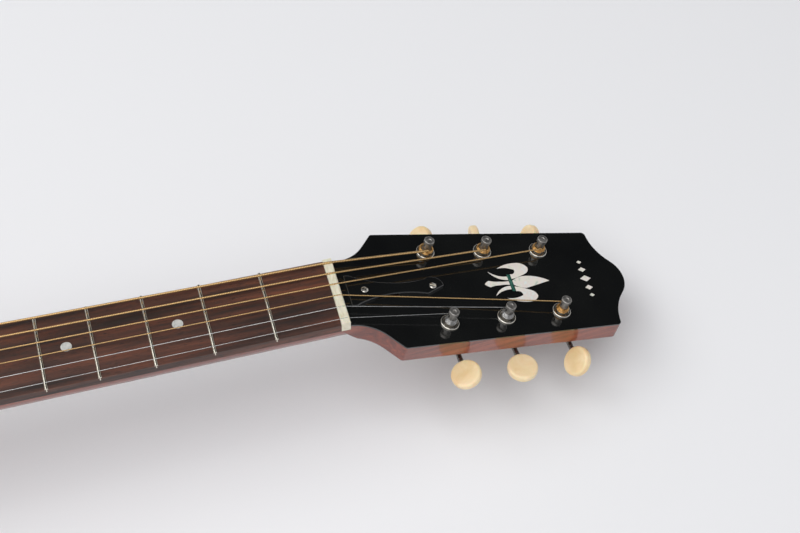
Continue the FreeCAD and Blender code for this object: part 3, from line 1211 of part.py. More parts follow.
# how far each button stands turned from flat, in degrees
REST_TURNS = {"bass": (125, 75, 105), "treble": (150, 170, 120)}
bushings, plate_screws = [], []
plate_screw = screw("plate_screw", "plateScrewLong", "plateScrewRadius", "plateScrewHead", "plateScrewSunk")
for side, sign in SIDES.items():
    first_frame = "row_%s_1" % side
    strip_box = solid_box("plate_strip_" + side, ("-plateBefore", "-plateWide / 2", "-plateLow"),
                          ("2 * postSpacing + plateAfter", "plateWide / 2", "-headThick"))
    ears, plate_holes = [], []
    for post in range(3):
        along = "%d * postSpacing" % post
        for edge in (-1, 1):
            name = "ear_%s_%d_%s" % (side, post + 1, "in" if edge * sign < 0 else "out")
            low, high = ("earY", "plateWide / 2") if edge > 0 else ("-plateWide / 2", "-earY")
            ears.append(solid_box(name, ("%s + gearCentre - earHalf" % along, low, "-shaftDrop - earHalf"),
                                  ("%s + gearCentre + earHalf" % along, high, "-plateLow + plateThick / 2")))
        plate_holes.append(solid_cylinder("plate_post_%s_%d" % (side, post + 1), "postRadius + 0.4",
                                          "4 * plateThick", (along, "0", "-plateLow - plateThick")))
        plate_holes.append(solid_cylinder("plate_shaft_%s_%d" % (side, post + 1), "shaftRadius + runFit",
                                          "2 * plateWide", ("%s + gearCentre" % along, "-plateWide",
                                                            "-shaftDrop"), Vector(0, 1, 0)))
    for count, along in enumerate(PLATE_SCREWS):
        plate_holes.append(solid_cylinder("plate_hole_%s_%d" % (side, count + 1), "plateScrewRadius + 0.2",
                                          "4 * plateThick", (along, "0", "-plateLow - plateThick")))
        # the heads sit under the strip, against it
        place = shift(along, "0", "-plateLow - plateScrewSunk", "1; 0; 0", "180")
        plate_screws.append(placed("plate_screw_%s_%d" % (side, count + 1), plate_screw, first_frame, place))
    joined_plate = doc.addObject("Part::MultiFuse", "plate_joined_" + side)
    joined_plate.Shapes = [strip_box] + ears
    node("tuner_plate_" + side, first_frame, boolean("Cut", "plate_cut_" + side, joined_plate, *plate_holes))
    for post in range(3):
        number = post + 1 if side == "bass" else 6 - post
        row = "row_%s_%d" % (side, post + 1)
        bushings.append(placed("bushing_" + str(number), bushing, row))
        shaft_frame = "shaft_%d" % number
        frame(shaft_frame, row, shift("gearCentre", "0", "-shaftDrop"))
        frame("button_frame_%d" % number, row, shift("gearCentre", "0", "-shaftDrop", "0; 1; 0",
                                                     str(REST_TURNS[side][post])))
        node("string_post_%d" % number, row, post_shape)
        node("post_gear_%d" % number, row, gear)
        node("worm_shaft_%d" % number, shaft_frame, shaft_pieces[side])
        node("button_%d" % number, "button_frame_%d" % number, button_pieces[side])
node("post_bushings", "rowFrame", *bushings)
node("plate_screws", "rowFrame", *plate_screws)

# ---------------------------------------------------------------- check and write
doc.recompute()
failed = [item.Name for item in doc.Objects if {"Invalid", "Error"} & set(item.State)]
failed += [item.Label for item in NODES if item.Shape.isNull() or not item.Shape.isValid()]
if failed:
    raise RuntimeError("these did not build: " + ", ".join(failed))
os.makedirs("parts", exist_ok=True)
for item in NODES:
    item.Shape.exportStep("parts/%s.step" % item.Label)
    print(item.Label, len(item.Shape.Solids), round(item.Shape.Volume))
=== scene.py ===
import json
import math

import bmesh
import bpy
from mathutils import Matrix, Vector


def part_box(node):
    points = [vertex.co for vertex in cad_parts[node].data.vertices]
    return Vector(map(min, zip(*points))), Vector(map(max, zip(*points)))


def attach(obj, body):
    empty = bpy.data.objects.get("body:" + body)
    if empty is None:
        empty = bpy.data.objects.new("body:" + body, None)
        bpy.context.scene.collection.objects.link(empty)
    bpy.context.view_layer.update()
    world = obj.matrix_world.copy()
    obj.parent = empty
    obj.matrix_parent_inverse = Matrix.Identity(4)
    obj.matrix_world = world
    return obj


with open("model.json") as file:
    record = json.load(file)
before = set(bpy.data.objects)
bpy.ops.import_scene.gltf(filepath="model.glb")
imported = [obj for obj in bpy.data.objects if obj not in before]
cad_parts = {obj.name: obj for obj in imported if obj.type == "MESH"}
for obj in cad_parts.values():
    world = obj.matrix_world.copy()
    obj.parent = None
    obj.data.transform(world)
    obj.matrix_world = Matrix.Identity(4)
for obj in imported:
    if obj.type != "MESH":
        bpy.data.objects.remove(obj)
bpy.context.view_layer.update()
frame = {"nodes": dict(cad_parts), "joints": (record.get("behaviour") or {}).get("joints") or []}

# A flat-top guitar lying on its back. Everything is in metres, +X to the head, +Y to the bass side.
# The small pieces take their places from the imported parts' boxes and joints. The camera, lights and
# colours are chosen.

mm = 0.001


# ---- camera
cameraView = {
    "azimuth": -13.285,             # degrees round the object
    "elevation": 52.855,
    "roll": -2.189,
    "fromNut": (38.8, 12.3, -5.3),  # what it looks at, in mm from the middle of the nut
    "distance": 1.0118,
    "lens": 82.9,
    "sensorWidth": 36,
}


def placeCamera(view):
    azimuth, elevation = math.radians(view["azimuth"]), math.radians(view["elevation"])
    roll = math.radians(view["roll"])
    back = Vector((math.sin(azimuth) * math.cos(elevation),
                   -math.cos(azimuth) * math.cos(elevation), math.sin(elevation)))
    level = Vector((0, 0, 1)).cross(back).normalized()
    above = back.cross(level)
    right = level * math.cos(roll) + above * math.sin(roll)
    up = above * math.cos(roll) - level * math.sin(roll)
    nutLow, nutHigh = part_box("nut")
    target = (nutLow + nutHigh) / 2 + Vector(view["fromNut"]) * mm
    data = bpy.data.cameras.new("Camera")
    data.lens, data.sensor_width = view["lens"], view["sensorWidth"]
    data.clip_start, data.clip_end = 0.01, 50
    camera = bpy.data.objects.new("Camera", data)
    turn = Matrix((right, up, back)).transposed().to_4x4()
    camera.matrix_world = Matrix.Translation(target + back * view["distance"]) @ turn
    bpy.context.scene.collection.objects.link(camera)
    bpy.context.scene.camera = camera
    return target


lookAt = placeCamera(cameraView)
print("camera placed")


# ---- colour and node helpers
def linearColour(hexText):
    channels = [int(hexText[i:i + 2], 16) / 255 for i in (1, 3, 5)]
    return tuple(c / 12.92 if c <= 0.04045 else ((c + 0.055) / 1.055) ** 2.4 for c in channels) + (1,)


def perMm(size):
    return 1000 / size          # texture scale that repeats once in this many millimetres


# adds one node: its own fields, its unlinked sockets, and the outputs that feed its inputs
def addNode(tree, kind, fields=None, sockets=None, links=None):
    made = tree.nodes.new(kind)
    for field, setting in (fields or {}).items():
        setattr(made, field, setting)
    for socket, amount in (sockets or {}).items():
        made.inputs[socket].default_value = amount
    for socket, source in (links or {}).items():
        tree.links.new(source, made.inputs[socket])
    return made


def newMaterial(name):
    material = bpy.data.materials.new(name)
    material.use_nodes = True
    tree = material.node_tree
    return material, tree, tree.nodes["Principled BSDF"]


def setShader(shader, settings):
    for socket, amount in settings.items():
        shader.inputs[socket].default_value = amount


# colour stops on a ramp, from a list of (place, hex)
def fillRamp(ramp, stops):
    while len(ramp.color_ramp.elements) < len(stops):
        ramp.color_ramp.elements.new(0.5)
    for element, (place, hexText) in zip(ramp.color_ramp.elements, stops):
        element.position = place
        element.color = linearColour(hexText)
    return ramp


# ---- woods
# Each wood: annual bands and figure drawn out along the grain, then open pores, under its finish.
woods = {
    # mahogany, stained red and sprayed with gloss nitrocellulose: deep red-brown, wet-looking, dark dashes
    "mahoganyGloss": {
        "stops": [(0.38, "#562012"), (0.5, "#77311E"), (0.62, "#93462B")],
        "bandMm": (150, 3.2), "figureMm": (260, 26), "poreMm": (5.5, 0.32),
        "poreDark": 0.55, "poreBump": 0.02, "along": "X",
        "shader": {"Roughness": 0.3, "IOR": 1.5, "Coat Weight": 1, "Coat Roughness": 0.05, "Coat IOR": 1.5},
    },
    # mahogany planed and left bare inside: paler, dry, no shine
    "mahoganyBare": {
        "stops": [(0.25, "#7E4A30"), (0.55, "#9A6040"), (0.8, "#B47A54")],
        "bandMm": (120, 3.5), "figureMm": (200, 24), "poreMm": (5, 0.35),
        "poreDark": 0.6, "poreBump": 0.06, "along": "X",
        "shader": {"Roughness": 0.72, "IOR": 1.5},
    },
    # quarter-sawn spruce, amber lacquer: close straight reeds, warm and glossy
    "spruceAmber": {
        "stops": [(0.38, "#B97A3A"), (0.5, "#D2984F"), (0.62, "#DDAA62")],
        "bandMm": (420, 1.25), "figureMm": (240, 60), "poreMm": (30, 0.5),
        "poreDark": 0.9, "poreBump": 0.008, "along": "X",
        "shader": {"Roughness": 0.32, "IOR": 1.5, "Coat Weight": 1, "Coat Roughness": 0.07, "Coat IOR": 1.5},
    },
    # spruce left bare for braces: nearly white, matt
    "spruceBare": {
        "stops": [(0.25, "#C9A673"), (0.5, "#DDC091"), (0.75, "#E8D0A6")],
        "bandMm": (300, 1.4), "figureMm": (200, 40), "poreMm": (20, 0.5),
        "poreDark": 0.9, "poreBump": 0.02, "along": "X",
        "shader": {"Roughness": 0.75, "IOR": 1.5},
    },
    # rosewood, oiled and rubbed by hands: red-brown and near-black streaks, low sheen, many open pores
    "rosewoodOiled": {
        "stops": [(0.38, "#261A15"), (0.5, "#4A2C21"), (0.62, "#6B3E2C")],
        "bandMm": (130, 5), "figureMm": (170, 15), "poreMm": (4.5, 0.38),
        "poreDark": 0.35, "poreBump": 0.07, "along": "X",
        "shader": {"Roughness": 0.42, "IOR": 1.5, "Coat Weight": 0.12, "Coat Roughness": 0.3},
    },
    # the same rosewood cut across the body for the bridge
    "rosewoodBridge": {
        "stops": [(0.3, "#241613"), (0.5, "#43231B"), (0.7, "#5D2F20")],
        "bandMm": (110, 3.5), "figureMm": (150, 12), "poreMm": (4.5, 0.38),
        "poreDark": 0.35, "poreBump": 0.07, "along": "Y",
        "shader": {"Roughness": 0.45, "IOR": 1.5, "Coat Weight": 0.1, "Coat Roughness": 0.3},
    },
    # ebony turned and buffed for the pins: black with a breath of brown grain
    "ebonyTurned": {
        "stops": [(0.3, "#0D0B0A"), (0.55, "#171312"), (0.8, "#241C18")],
        "bandMm": (40, 1.2), "figureMm": (60, 6), "poreMm": (2.5, 0.25),
        "poreDark": 0.7, "poreBump": 0.02, "along": "X",
        "shader": {"Roughness": 0.3, "IOR": 1.5},
    },
}


figureShare = 0.45              # of the broad figure in the colour, against the annual bands
poreLevels = (0.36, 0.44)       # the part of the pore pattern that fades from pore to clear wood
sheenSpread = (-0.06, 0.08)     # of the roughness round each wood's own value


def makeWood(name, wood):
    material, tree, shader = newMaterial(name)
    place = addNode(tree, "ShaderNodeTexCoord").outputs["Object"]

    def grain(size, detail, distortion):
        longWay, wide = size
        scale = [perMm(wide)] * 3
        scale["XYZ".index(wood["along"])] = perMm(longWay)
        drawn = addNode(tree, "ShaderNodeMapping", sockets={"Scale": scale}, links={"Vector": place})
        return addNode(tree, "ShaderNodeTexNoise",
                       sockets={"Scale": 1, "Detail": detail, "Roughness": 0.6, "Distortion": distortion},
                       links={"Vector": drawn.outputs["Vector"]}).outputs["Fac"]

    bands, figure, pores = (grain(wood["bandMm"], 5, 0.25), grain(wood["figureMm"], 3, 0.4),
                            grain(wood["poreMm"], 2, 0))
    both = addNode(tree, "ShaderNodeMix", {"data_type": "FLOAT"}, {"Factor": figureShare},
                   {"A": bands, "B": figure})
    ramp = fillRamp(addNode(tree, "ShaderNodeValToRGB", links={"Fac": both.outputs["Result"]}),
                    wood["stops"])
    # pores are only the lowest part of their noise, so most of the surface stays clear
    dark = addNode(tree, "ShaderNodeMapRange",
                   sockets={"From Min": poreLevels[0], "From Max": poreLevels[1],
                            "To Min": wood["poreDark"], "To Max": 1},
                   links={"Value": pores})
    tinted = addNode(tree, "ShaderNodeVectorMath", {"operation": "SCALE"},
                     links={"Vector": ramp.outputs["Color"], "Scale": dark.outputs["Result"]})
    tree.links.new(tinted.outputs["Vector"], shader.inputs["Base Color"])
    setShader(shader, wood["shader"])
    middle = wood["shader"]["Roughness"]
    rough = addNode(tree, "ShaderNodeMapRange", sockets={"To Min": middle + sheenSpread[0],
                                                         "To Max": middle + sheenSpread[1]},
                    links={"Value": figure})
    tree.links.new(rough.outputs["Result"], shader.inputs["Roughness"])
    bump = addNode(tree, "ShaderNodeBump", sockets={"Strength": 0.6, "Distance": wood["poreBump"] * mm},
                   links={"Height": dark.outputs["Result"]})
    tree.links.new(bump.outputs["Normal"], shader.inputs["Normal"])
    return material


# ---- metals, plastics, shell and lacquer: one cloudy pattern over the base, at a real size
finishes = {
    # nitrocellulose lacquer, sprayed black and buffed: near-mirror with a trace of orange peel
    "lacquerBlack": {
        "stops": [(0.3, "#0A0B0B"), (0.7, "#131413")], "cloudMm": (40, 40, 40), "detail": 3,
        "roughness": (0.06, 0.12), "bumpMm": 0.006, "bumpScale": 3.5,
        "shader": {"IOR": 1.5, "Coat Weight": 1, "Coat Roughness": 0.03},
    },
    # bone, sawn and polished: cream white with faint lengthwise pores
    "bonePolished": {
        "stops": [(0.3, "#CFC8AC"), (0.5, "#DDD7C0"), (0.75, "#E8E3D0")], "cloudMm": (1.2, 5, 1.2),
        "detail": 4,
        "roughness": (0.3, 0.42), "bumpMm": 0.015, "bumpScale": 0.8,
        "shader": {"IOR": 1.53, "Subsurface Weight": 0.15, "Subsurface Scale": 0.001},
    },
    # mother-of-pearl, sawn and sanded flush: pale, with rose and green clouds that catch the light
    "pearlShell": {
        "stops": [(0.25, "#BFC9BE"), (0.42, "#E8E4D6"), (0.55, "#EADFD8"), (0.7, "#DCE6E0"),
                  (0.85, "#F2EEE2")],
        "cloudMm": (3.2, 5.5, 3.2), "detail": 3,
        "roughness": (0.18, 0.3), "bumpMm": 0.004, "bumpScale": 0.6,
        "shader": {"IOR": 1.53, "Coat Weight": 0.8, "Coat Roughness": 0.05,
                   "Thin Film Thickness": 420, "Thin Film IOR": 1.55},
    },
    # the same shell in small dots, worn and a little dirty: greyer and duller
    "pearlWorn": {
        "stops": [(0.3, "#A3A8A3"), (0.5, "#BFC0BB"), (0.7, "#CBC9C4")], "cloudMm": (1.6, 2.2, 1.6),
        "detail": 3, "roughness": (0.28, 0.4), "bumpMm": 0.004, "bumpScale": 0.6,
        "shader": {"IOR": 1.53, "Coat Weight": 0.3, "Coat Roughness": 0.15},
    },
    # green abalone, sawn and sanded flush: dark sea green with brighter veins
    "abaloneGreen": {
        "stops": [(0.3, "#16302A"), (0.5, "#28564A"), (0.72, "#4F8070")], "cloudMm": (2, 4, 2), "detail": 4,
        "roughness": (0.2, 0.32), "bumpMm": 0.004, "bumpScale": 0.6,
        "shader": {"IOR": 1.53, "Coat Weight": 0.8, "Coat Roughness": 0.05},
    },
    # celluloid binding, scraped and lacquered: aged ivory with fine lengthwise streaks
    "ivoroidBinding": {
        "stops": [(0.3, "#DCCDA4"), (0.7, "#EADFBF")], "cloudMm": (30, 1.2, 0.9), "detail": 3,
        "roughness": (0.24, 0.34), "bumpMm": 0.004, "bumpScale": 1.2,
        "shader": {"IOR": 1.5, "Coat Weight": 0.7, "Coat Roughness": 0.06},
    },
    # tortoise celluloid, cut from sheet and polished: dark red-brown with amber islands
    "tortoiseCelluloid": {
        "stops": [(0.35, "#220C07"), (0.5, "#571F0E"), (0.62, "#8E4217"), (0.75, "#BE7A2F")],
        "cloudMm": (13, 17, 13), "detail": 5,
        "roughness": (0.12, 0.2), "bumpMm": 0.003, "bumpScale": 4,
        "shader": {"IOR": 1.5, "Coat Weight": 0.8, "Coat Roughness": 0.04},
    },
    # nickel plate on brass, buffed and handled: warm bright mirror, slightly clouded
    "nickelBuffed": {
        "stops": [(0.3, "#C6C0B4"), (0.7, "#E0DCD2")], "cloudMm": (5, 5, 5), "detail": 5,
        "roughness": (0.14, 0.27), "bumpMm": 0.004, "bumpScale": 0.7,
        "shader": {"Metallic": 1},
    },
    # the same plate dulled by years of string dirt: grey, soft highlights
    "nickelAged": {
        "stops": [(0.3, "#8C8986"), (0.5, "#A5A29D"), (0.75, "#BCB8B2")], "cloudMm": (2.2, 2.2, 2.2),
        "detail": 5,
        "roughness": (0.36, 0.52), "bumpMm": 0.008, "bumpScale": 0.5,
        "shader": {"Metallic": 1},
    },
    # nickel silver fret wire, rolled and dressed: pale yellow-grey, polished along its length
    "fretWire": {
        "stops": [(0.3, "#C9C3B3"), (0.7, "#E0DBCD")], "cloudMm": (0.8, 9, 0.8), "detail": 4,
        "roughness": (0.18, 0.3), "bumpMm": 0.004, "bumpScale": 0.4,
        "shader": {"Metallic": 1},
    },
    # steel, turned and blued by handling: dark grey with fine turning marks
    "steelTurned": {
        "stops": [(0.3, "#6B6967"), (0.7, "#8F8D8A")], "cloudMm": (3, 0.35, 3), "detail": 4,
        "roughness": (0.22, 0.36), "bumpMm": 0.01, "bumpScale": 0.35,
        "shader": {"Metallic": 1},
    },
    # bronze-wrapped string, bent round a post: gold, its own fine turns seen only as a soft sheen
    "bronzeCoil": {
        "stops": [(0.3, "#A87A42"), (0.55, "#D2A465"), (0.75, "#E3BD86")], "cloudMm": (1.4, 1.4, 1.4),
        "detail": 4, "roughness": (0.25, 0.38), "bumpMm": 0.02, "bumpScale": 0.3,
        "shader": {"Metallic": 1},
    },
    # brass, hobbed and left bare: yellow, a little tarnished in the roots
    "brassCut": {
        "stops": [(0.3, "#8A6A33"), (0.55, "#B08E4A"), (0.8, "#C9A75F")], "cloudMm": (1.8, 1.8, 1.8),
        "detail": 5,
        "roughness": (0.25, 0.42), "bumpMm": 0.01, "bumpScale": 0.5,
        "shader": {"Metallic": 1},
    },
    # tinned steel wire, drawn: clean silver, nearly a mirror
    "plainWire": {
        "stops": [(0.3, "#B5B5B5"), (0.7, "#D6D6D4")], "cloudMm": (12, 0.4, 0.4), "detail": 3,
        "roughness": (0.15, 0.25), "bumpMm": 0.002, "bumpScale": 0.4,
        "shader": {"Metallic": 1},
    },
    # casein plastic, moulded and tumbled: custard cream, waxy, with faint swirls from the mould
    "creamCasein": {
        "stops": [(0.28, "#E3C693"), (0.5, "#ECD3A6"), (0.75, "#F2DFB9")], "cloudMm": (9, 9, 9),
        "detail": 4, "roughness": (0.28, 0.4), "bumpMm": 0.01, "bumpScale": 2.5,
        "shader": {"IOR": 1.5, "Subsurface Weight": 0.2, "Subsurface Scale": 0.002},
    },
}


def makeFinish(name, finish):
    material, tree, shader = newMaterial(name)
    place = addNode(tree, "ShaderNodeTexCoord").outputs["Object"]
    drawn = addNode(tree, "ShaderNodeMapping", sockets={"Scale": [perMm(s) for s in finish["cloudMm"]]},
                    links={"Vector": place})
    cloud = addNode(tree, "ShaderNodeTexNoise",
                    sockets={"Scale": 1, "Detail": finish["detail"], "Distortion": 0.6},
                    links={"Vector": drawn.outputs["Vector"]}).outputs["Fac"]
    ramp = fillRamp(addNode(tree, "ShaderNodeValToRGB", links={"Fac": cloud}), finish["stops"])
    tree.links.new(ramp.outputs["Color"], shader.inputs["Base Color"])
    setShader(shader, finish["shader"])
    low, high = finish["roughness"]
    rough = addNode(tree, "ShaderNodeMapRange",
                    sockets={"From Min": 0.3, "From Max": 0.7, "To Min": low, "To Max": high},
                    links={"Value": cloud})
    tree.links.new(rough.outputs["Result"], shader.inputs["Roughness"])
    fine = addNode(tree, "ShaderNodeTexNoise", sockets={"Scale": perMm(finish["bumpScale"]), "Detail": 2},
                   links={"Vector": place})
    bump = addNode(tree, "ShaderNodeBump", sockets={"Strength": 0.5, "Distance": finish["bumpMm"] * mm},
                   links={"Height": fine.outputs["Fac"]})
    tree.links.new(bump.outputs["Normal"], shader.inputs["Normal"])
    return material


# phosphor bronze wire, wound tight over a steel core: warm gold broken up by its own turns, with painted
# shade in the grooves between them
windingLook = {
    # the groove colour is painted shade, a darker gold laid between the turns; the crown colour is the
    # wire's own gold
    "groove": "#94703F", "crown": "#E0BC86",
    "pitchMm": 0.9,             # real turns are about 0.3 mm apart, too fine to show, so these are coarser
    "roughness": 0.3,
    "ridgeMm": 0.12,
}


def makeWinding(name, look):
    material, tree, shader = newMaterial(name)
    place = addNode(tree, "ShaderNodeTexCoord").outputs["Object"]
    waveTurn = 2 * math.pi / 20    # a wave texture of scale 1 repeats once in this many units
    wave = addNode(tree, "ShaderNodeTexWave", {"bands_direction": "X"},
                   {"Scale": waveTurn * perMm(look["pitchMm"])}, {"Vector": place}).outputs["Fac"]
    # the wave paints shade into the grooves between the turns and leaves the crowns their own colour
    ramp = fillRamp(addNode(tree, "ShaderNodeValToRGB", links={"Fac": wave}),
                    [(0.05, look["groove"]), (0.5, look["crown"])])
    tree.links.new(ramp.outputs["Color"], shader.inputs["Base Color"])
    setShader(shader, {"Metallic": 1, "Roughness": look["roughness"]})
    bump = addNode(tree, "ShaderNodeBump", sockets={"Strength": 0.7, "Distance": look["ridgeMm"] * mm},
                   links={"Height": wave})
    tree.links.new(bump.outputs["Normal"], shader.inputs["Normal"])
    return material


# soundhole rings of black and ivory celluloid strip, let into the top and scraped flush
rosetteLook = {"rings": 5, "dark": "#15110F", "pale": "#E6D9B6", "roughness": 0.25}


def makeRosette(name, look):
    material, tree, shader = newMaterial(name)
    low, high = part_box("rosette")
    middle = (low + high) / 2
    outer = (high.y - low.y) / 2
    place = addNode(tree, "ShaderNodeTexCoord").outputs["Object"]
    centred = addNode(tree, "ShaderNodeVectorMath", {"operation": "SUBTRACT"}, links={"Vector": place})
    centred.inputs[1].default_value = (middle.x, middle.y, middle.z)
    reach = addNode(tree, "ShaderNodeVectorMath", {"operation": "LENGTH"},
                    links={"Vector": centred.outputs["Vector"]})
    ringWide = (outer - rosetteInner()) / look["rings"]
    counted = addNode(tree, "ShaderNodeMath", {"operation": "DIVIDE"}, links={0: reach.outputs["Value"]})
    counted.inputs[1].default_value = 2 * ringWide
    part = addNode(tree, "ShaderNodeMath", {"operation": "FRACT"}, links={0: counted.outputs["Value"]})
    ramp = fillRamp(addNode(tree, "ShaderNodeValToRGB", {}, {}, {"Fac": part.outputs["Value"]}),
                    [(0, look["dark"]), (0.5, look["pale"])])
    ramp.color_ramp.interpolation = "CONSTANT"
    tree.links.new(ramp.outputs["Color"], shader.inputs["Base Color"])
    setShader(shader, {"Roughness": look["roughness"], "IOR": 1.5, "Coat Weight": 0.8,
                       "Coat Roughness": 0.06})
    return material


# inner radius of the rosette's ring, measured on its own mesh
def rosetteInner():
    low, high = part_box("rosette")
    middle = (low + high) / 2
    return min((Vector((v.co.x, v.co.y, 0)) - Vector((middle.x, middle.y, 0))).length
               for v in frame["nodes"]["rosette"].data.vertices)


made = {name: makeWood(name, wood) for name, wood in woods.items()}
made.update({name: makeFinish(name, finish) for name, finish in finishes.items()})
made["bronzeWinding"] = makeWinding("bronzeWinding", windingLook)
made["rosetteRings"] = makeRosette("rosetteRings", rosetteLook)
print("materials made:", len(made))

# ---- which finish each part has
partFinish = {
    "mahoganyGloss": ["neck", "sides", "back_plate", "heel_cap"],
    "mahoganyBare": ["neck_block", "tail_block", "linings"],
    "spruceAmber": ["soundboard"],
    "spruceBare": ["top_braces", "back_braces"],
    "rosewoodOiled": ["fingerboard", "bridge_plate"],
    "rosewoodBridge": ["bridge"],
    "ebonyTurned": ["bridge_pins", "end_pin"],
    "lacquerBlack": ["head_veneer", "truss_rod_cover"],
    "bonePolished": ["nut", "saddle"],
    "pearlShell": ["head_ornament", "head_crest"],
    "pearlWorn": ["position_dots"],
    "abaloneGreen": ["ornament_band"],
    "ivoroidBinding": ["bindings"],
    "tortoiseCelluloid": ["pickguard"],
    "rosetteRings": ["rosette"],
    "fretWire": ["frets"],
    "nickelBuffed": ["cover_screws", "plate_screws", "post_bushings", "tuner_plate_bass",
                     "tuner_plate_treble"],
    "steelTurned": ["truss_rod"],
    "brassCut": ["truss_rod_nut"],
    "bronzeWinding": ["wound_strings"],
    "plainWire": ["plain_strings"],
}
tunerFinish = {"nickelAged": "string_post_%d", "brassCut": "post_gear_%d",
               "steelTurned": "worm_shaft_%d", "creamCasein": "button_%d"}
for finish, pattern in tunerFinish.items():
    partFinish.setdefault(finish, []).extend(pattern % number for number in range(1, 7))


def dress(piece, finish):
    if not piece.data.materials:
        piece.data.materials.append(made[finish])
    for slot in piece.material_slots:
        slot.material = made[finish]


for finish, names in partFinish.items():
    for name in names:
        dress(frame["nodes"][name], finish)
undressed = set(frame["nodes"]) - {name for names in partFinish.values() for name in names}
print("parts without a finish:", sorted(undressed))


# ---- mesh helpers for the small pieces
def newPiece(name, points, faces, finish, body):
    mesh = bpy.data.meshes.new(name)
    mesh.from_pydata([tuple(p) for p in points], [], faces)
    shell = bmesh.new()
    shell.from_mesh(mesh)
    bmesh.ops.recalc_face_normals(shell, faces=shell.faces)
    shell.to_mesh(mesh)
    shell.free()
    mesh.shade_smooth()
    piece = bpy.data.objects.new(name, mesh)
    bpy.context.scene.collection.objects.link(piece)
    dress(piece, finish)
    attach(piece, body)
    return piece


# two directions at right angles to an axis
def crossDirections(axis):
    first = axis.orthogonal().normalized()
    return first, axis.cross(first).normalized()


endRise = 0.6                   # of a wire's blunt end, as a share of its radius


# a round wire along points, closed by a blunt cone at each end
def wireShape(path, radius, sides):
    points, faces = [], []
    first, second = crossDirections((path[1] - path[0]).normalized())
    for i, centre in enumerate(path):
        ahead = (path[min(i + 1, len(path) - 1)] - path[max(i - 1, 0)]).normalized()
        first = (first - ahead * first.dot(ahead)).normalized()
        second = ahead.cross(first)
        for k in range(sides):
            angle = 2 * math.pi * k / sides
            points.append(centre + (first * math.cos(angle) + second * math.sin(angle)) * radius)
    for i in range(len(path) - 1):
        for k in range(sides):
            after = (k + 1) % sides
            faces.append((i * sides + k, i * sides + after, (i + 1) * sides + after, (i + 1) * sides + k))
    for ring, inner, outward in ((0, path[0], path[0] - path[1]),
                                 (len(path) - 1, path[-1], path[-1] - path[-2])):
        tip = len(points)
        points.append(inner + outward.normalized() * radius * endRise)
        for k in range(sides):
            after = (k + 1) % sides
            near, far = ring * sides + k, ring * sides + after
            faces.append((far, near, tip) if ring == 0 else (near, far, tip))
    return points, faces


# a turned shape: (radius, height) pairs from the bottom's centre to the top's centre
def turnedShape(profile, centre, axis, sides):
    points, faces = [centre + axis * profile[0][1]], []
    first, second = crossDirections(axis)
    for radius, height in profile[1:-1]:
        for k in range(sides):
            angle = 2 * math.pi * k / sides
            points.append(centre + axis * height
                          + (first * math.cos(angle) + second * math.sin(angle)) * radius)
    points.append(centre + axis * profile[-1][1])
    rings = len(profile) - 2
    for k in range(sides):
        after = (k + 1) % sides
        faces.append((0, 1 + after, 1 + k))
        for ring in range(rings - 1):
            low, high = 1 + ring * sides, 1 + (ring + 1) * sides
            faces.append((low + k, low + after, high + after, high + k))
        faces.append((1 + (rings - 1) * sides + k, 1 + (rings - 1) * sides + after, len(points) - 1))
    return points, faces


# ---- string windings round the posts
windings = {
    "topRadius": 2.2,           # of the post's waist, in mm
    "lowRadius": 3.1,           # of the post where it widens again
    "lowest": 1.9,              # above the head face, in mm
    "underString": 0.2,         # the top turn starts this far below the string that it ends
    "reach": 3.6,               # of the string's end from the post's axis
    "stepsPerTurn": 28,
    "sides": 10,
    "clearance": 0.05,          # of the wire from the post
}
# post number: wire diameter in mm, turns, wound or plain
strungWith = {1: (1.35, 2, True), 2: (1.07, 2.5, True), 3: (0.81, 3, True),
              4: (0.61, 3.5, True), 5: (0.41, 4, False), 6: (0.3, 5, False)}


def postAxis(number):
    joint = next(j for j in frame["joints"] if j["child"] == "post_%d" % number)
    return Vector(joint["pos_m"]), Vector(joint["axis"]).normalized()


# how high the underside of a string's end is above the head face, in mm
def stringUnderside(number, wound):
    centre, axis = postAxis(number)
    strings = frame["nodes"]["wound_strings" if wound else "plain_strings"]
    heights = []
    for vertex in strings.data.vertices:
        offset = vertex.co - centre
        height = offset.dot(axis)
        if (offset - axis * height).length < windings["reach"] * mm:
            heights.append(height)
    return min(heights) / mm


def windPost(number, thick, turns, wound):
    centre, axis = postAxis(number)
    side = 1 if centre.y > 0 else -1
    inward = Vector((0, -side, 0))
    inward = (inward - axis * inward.dot(axis)).normalized()
    forward = axis.cross(inward)
    low = windings["lowest"] + thick / 2
    high = stringUnderside(number, wound) - windings["underString"] - thick / 2
    steps = int(turns * windings["stepsPerTurn"])
    path = []
    for i in range(steps + 1):
        angle = 2 * math.pi * turns * i / steps
        down = i / steps
        height = (high + (low - high) * down) * mm
        radius = (windings["topRadius"] + (windings["lowRadius"] - windings["topRadius"]) * down
                  + thick / 2 + windings["clearance"]) * mm
        path.append(centre + axis * height
                    + (inward * math.cos(angle) + forward * math.sin(angle)) * radius)
    points, faces = wireShape(path, thick / 2 * mm, windings["sides"])
    newPiece("winding_%d" % number, points, faces, "bronzeCoil" if wound else "plainWire",
             "post_%d" % number)


for number, (thick, turns, wound) in strungWith.items():
    windPost(number, thick, turns, wound)
undersides = [round(stringUnderside(number, wound), 2) for number, (_, _, wound) in strungWith.items()]
print("windings made, under strings at", undersides, "mm above the head face")

# ---- pearl eyes in the bridge pins
pinEye = {"radius": 1.5, "rise": 0.35, "sunk": 0.3, "sides": 24, "headRadius": 3.9}


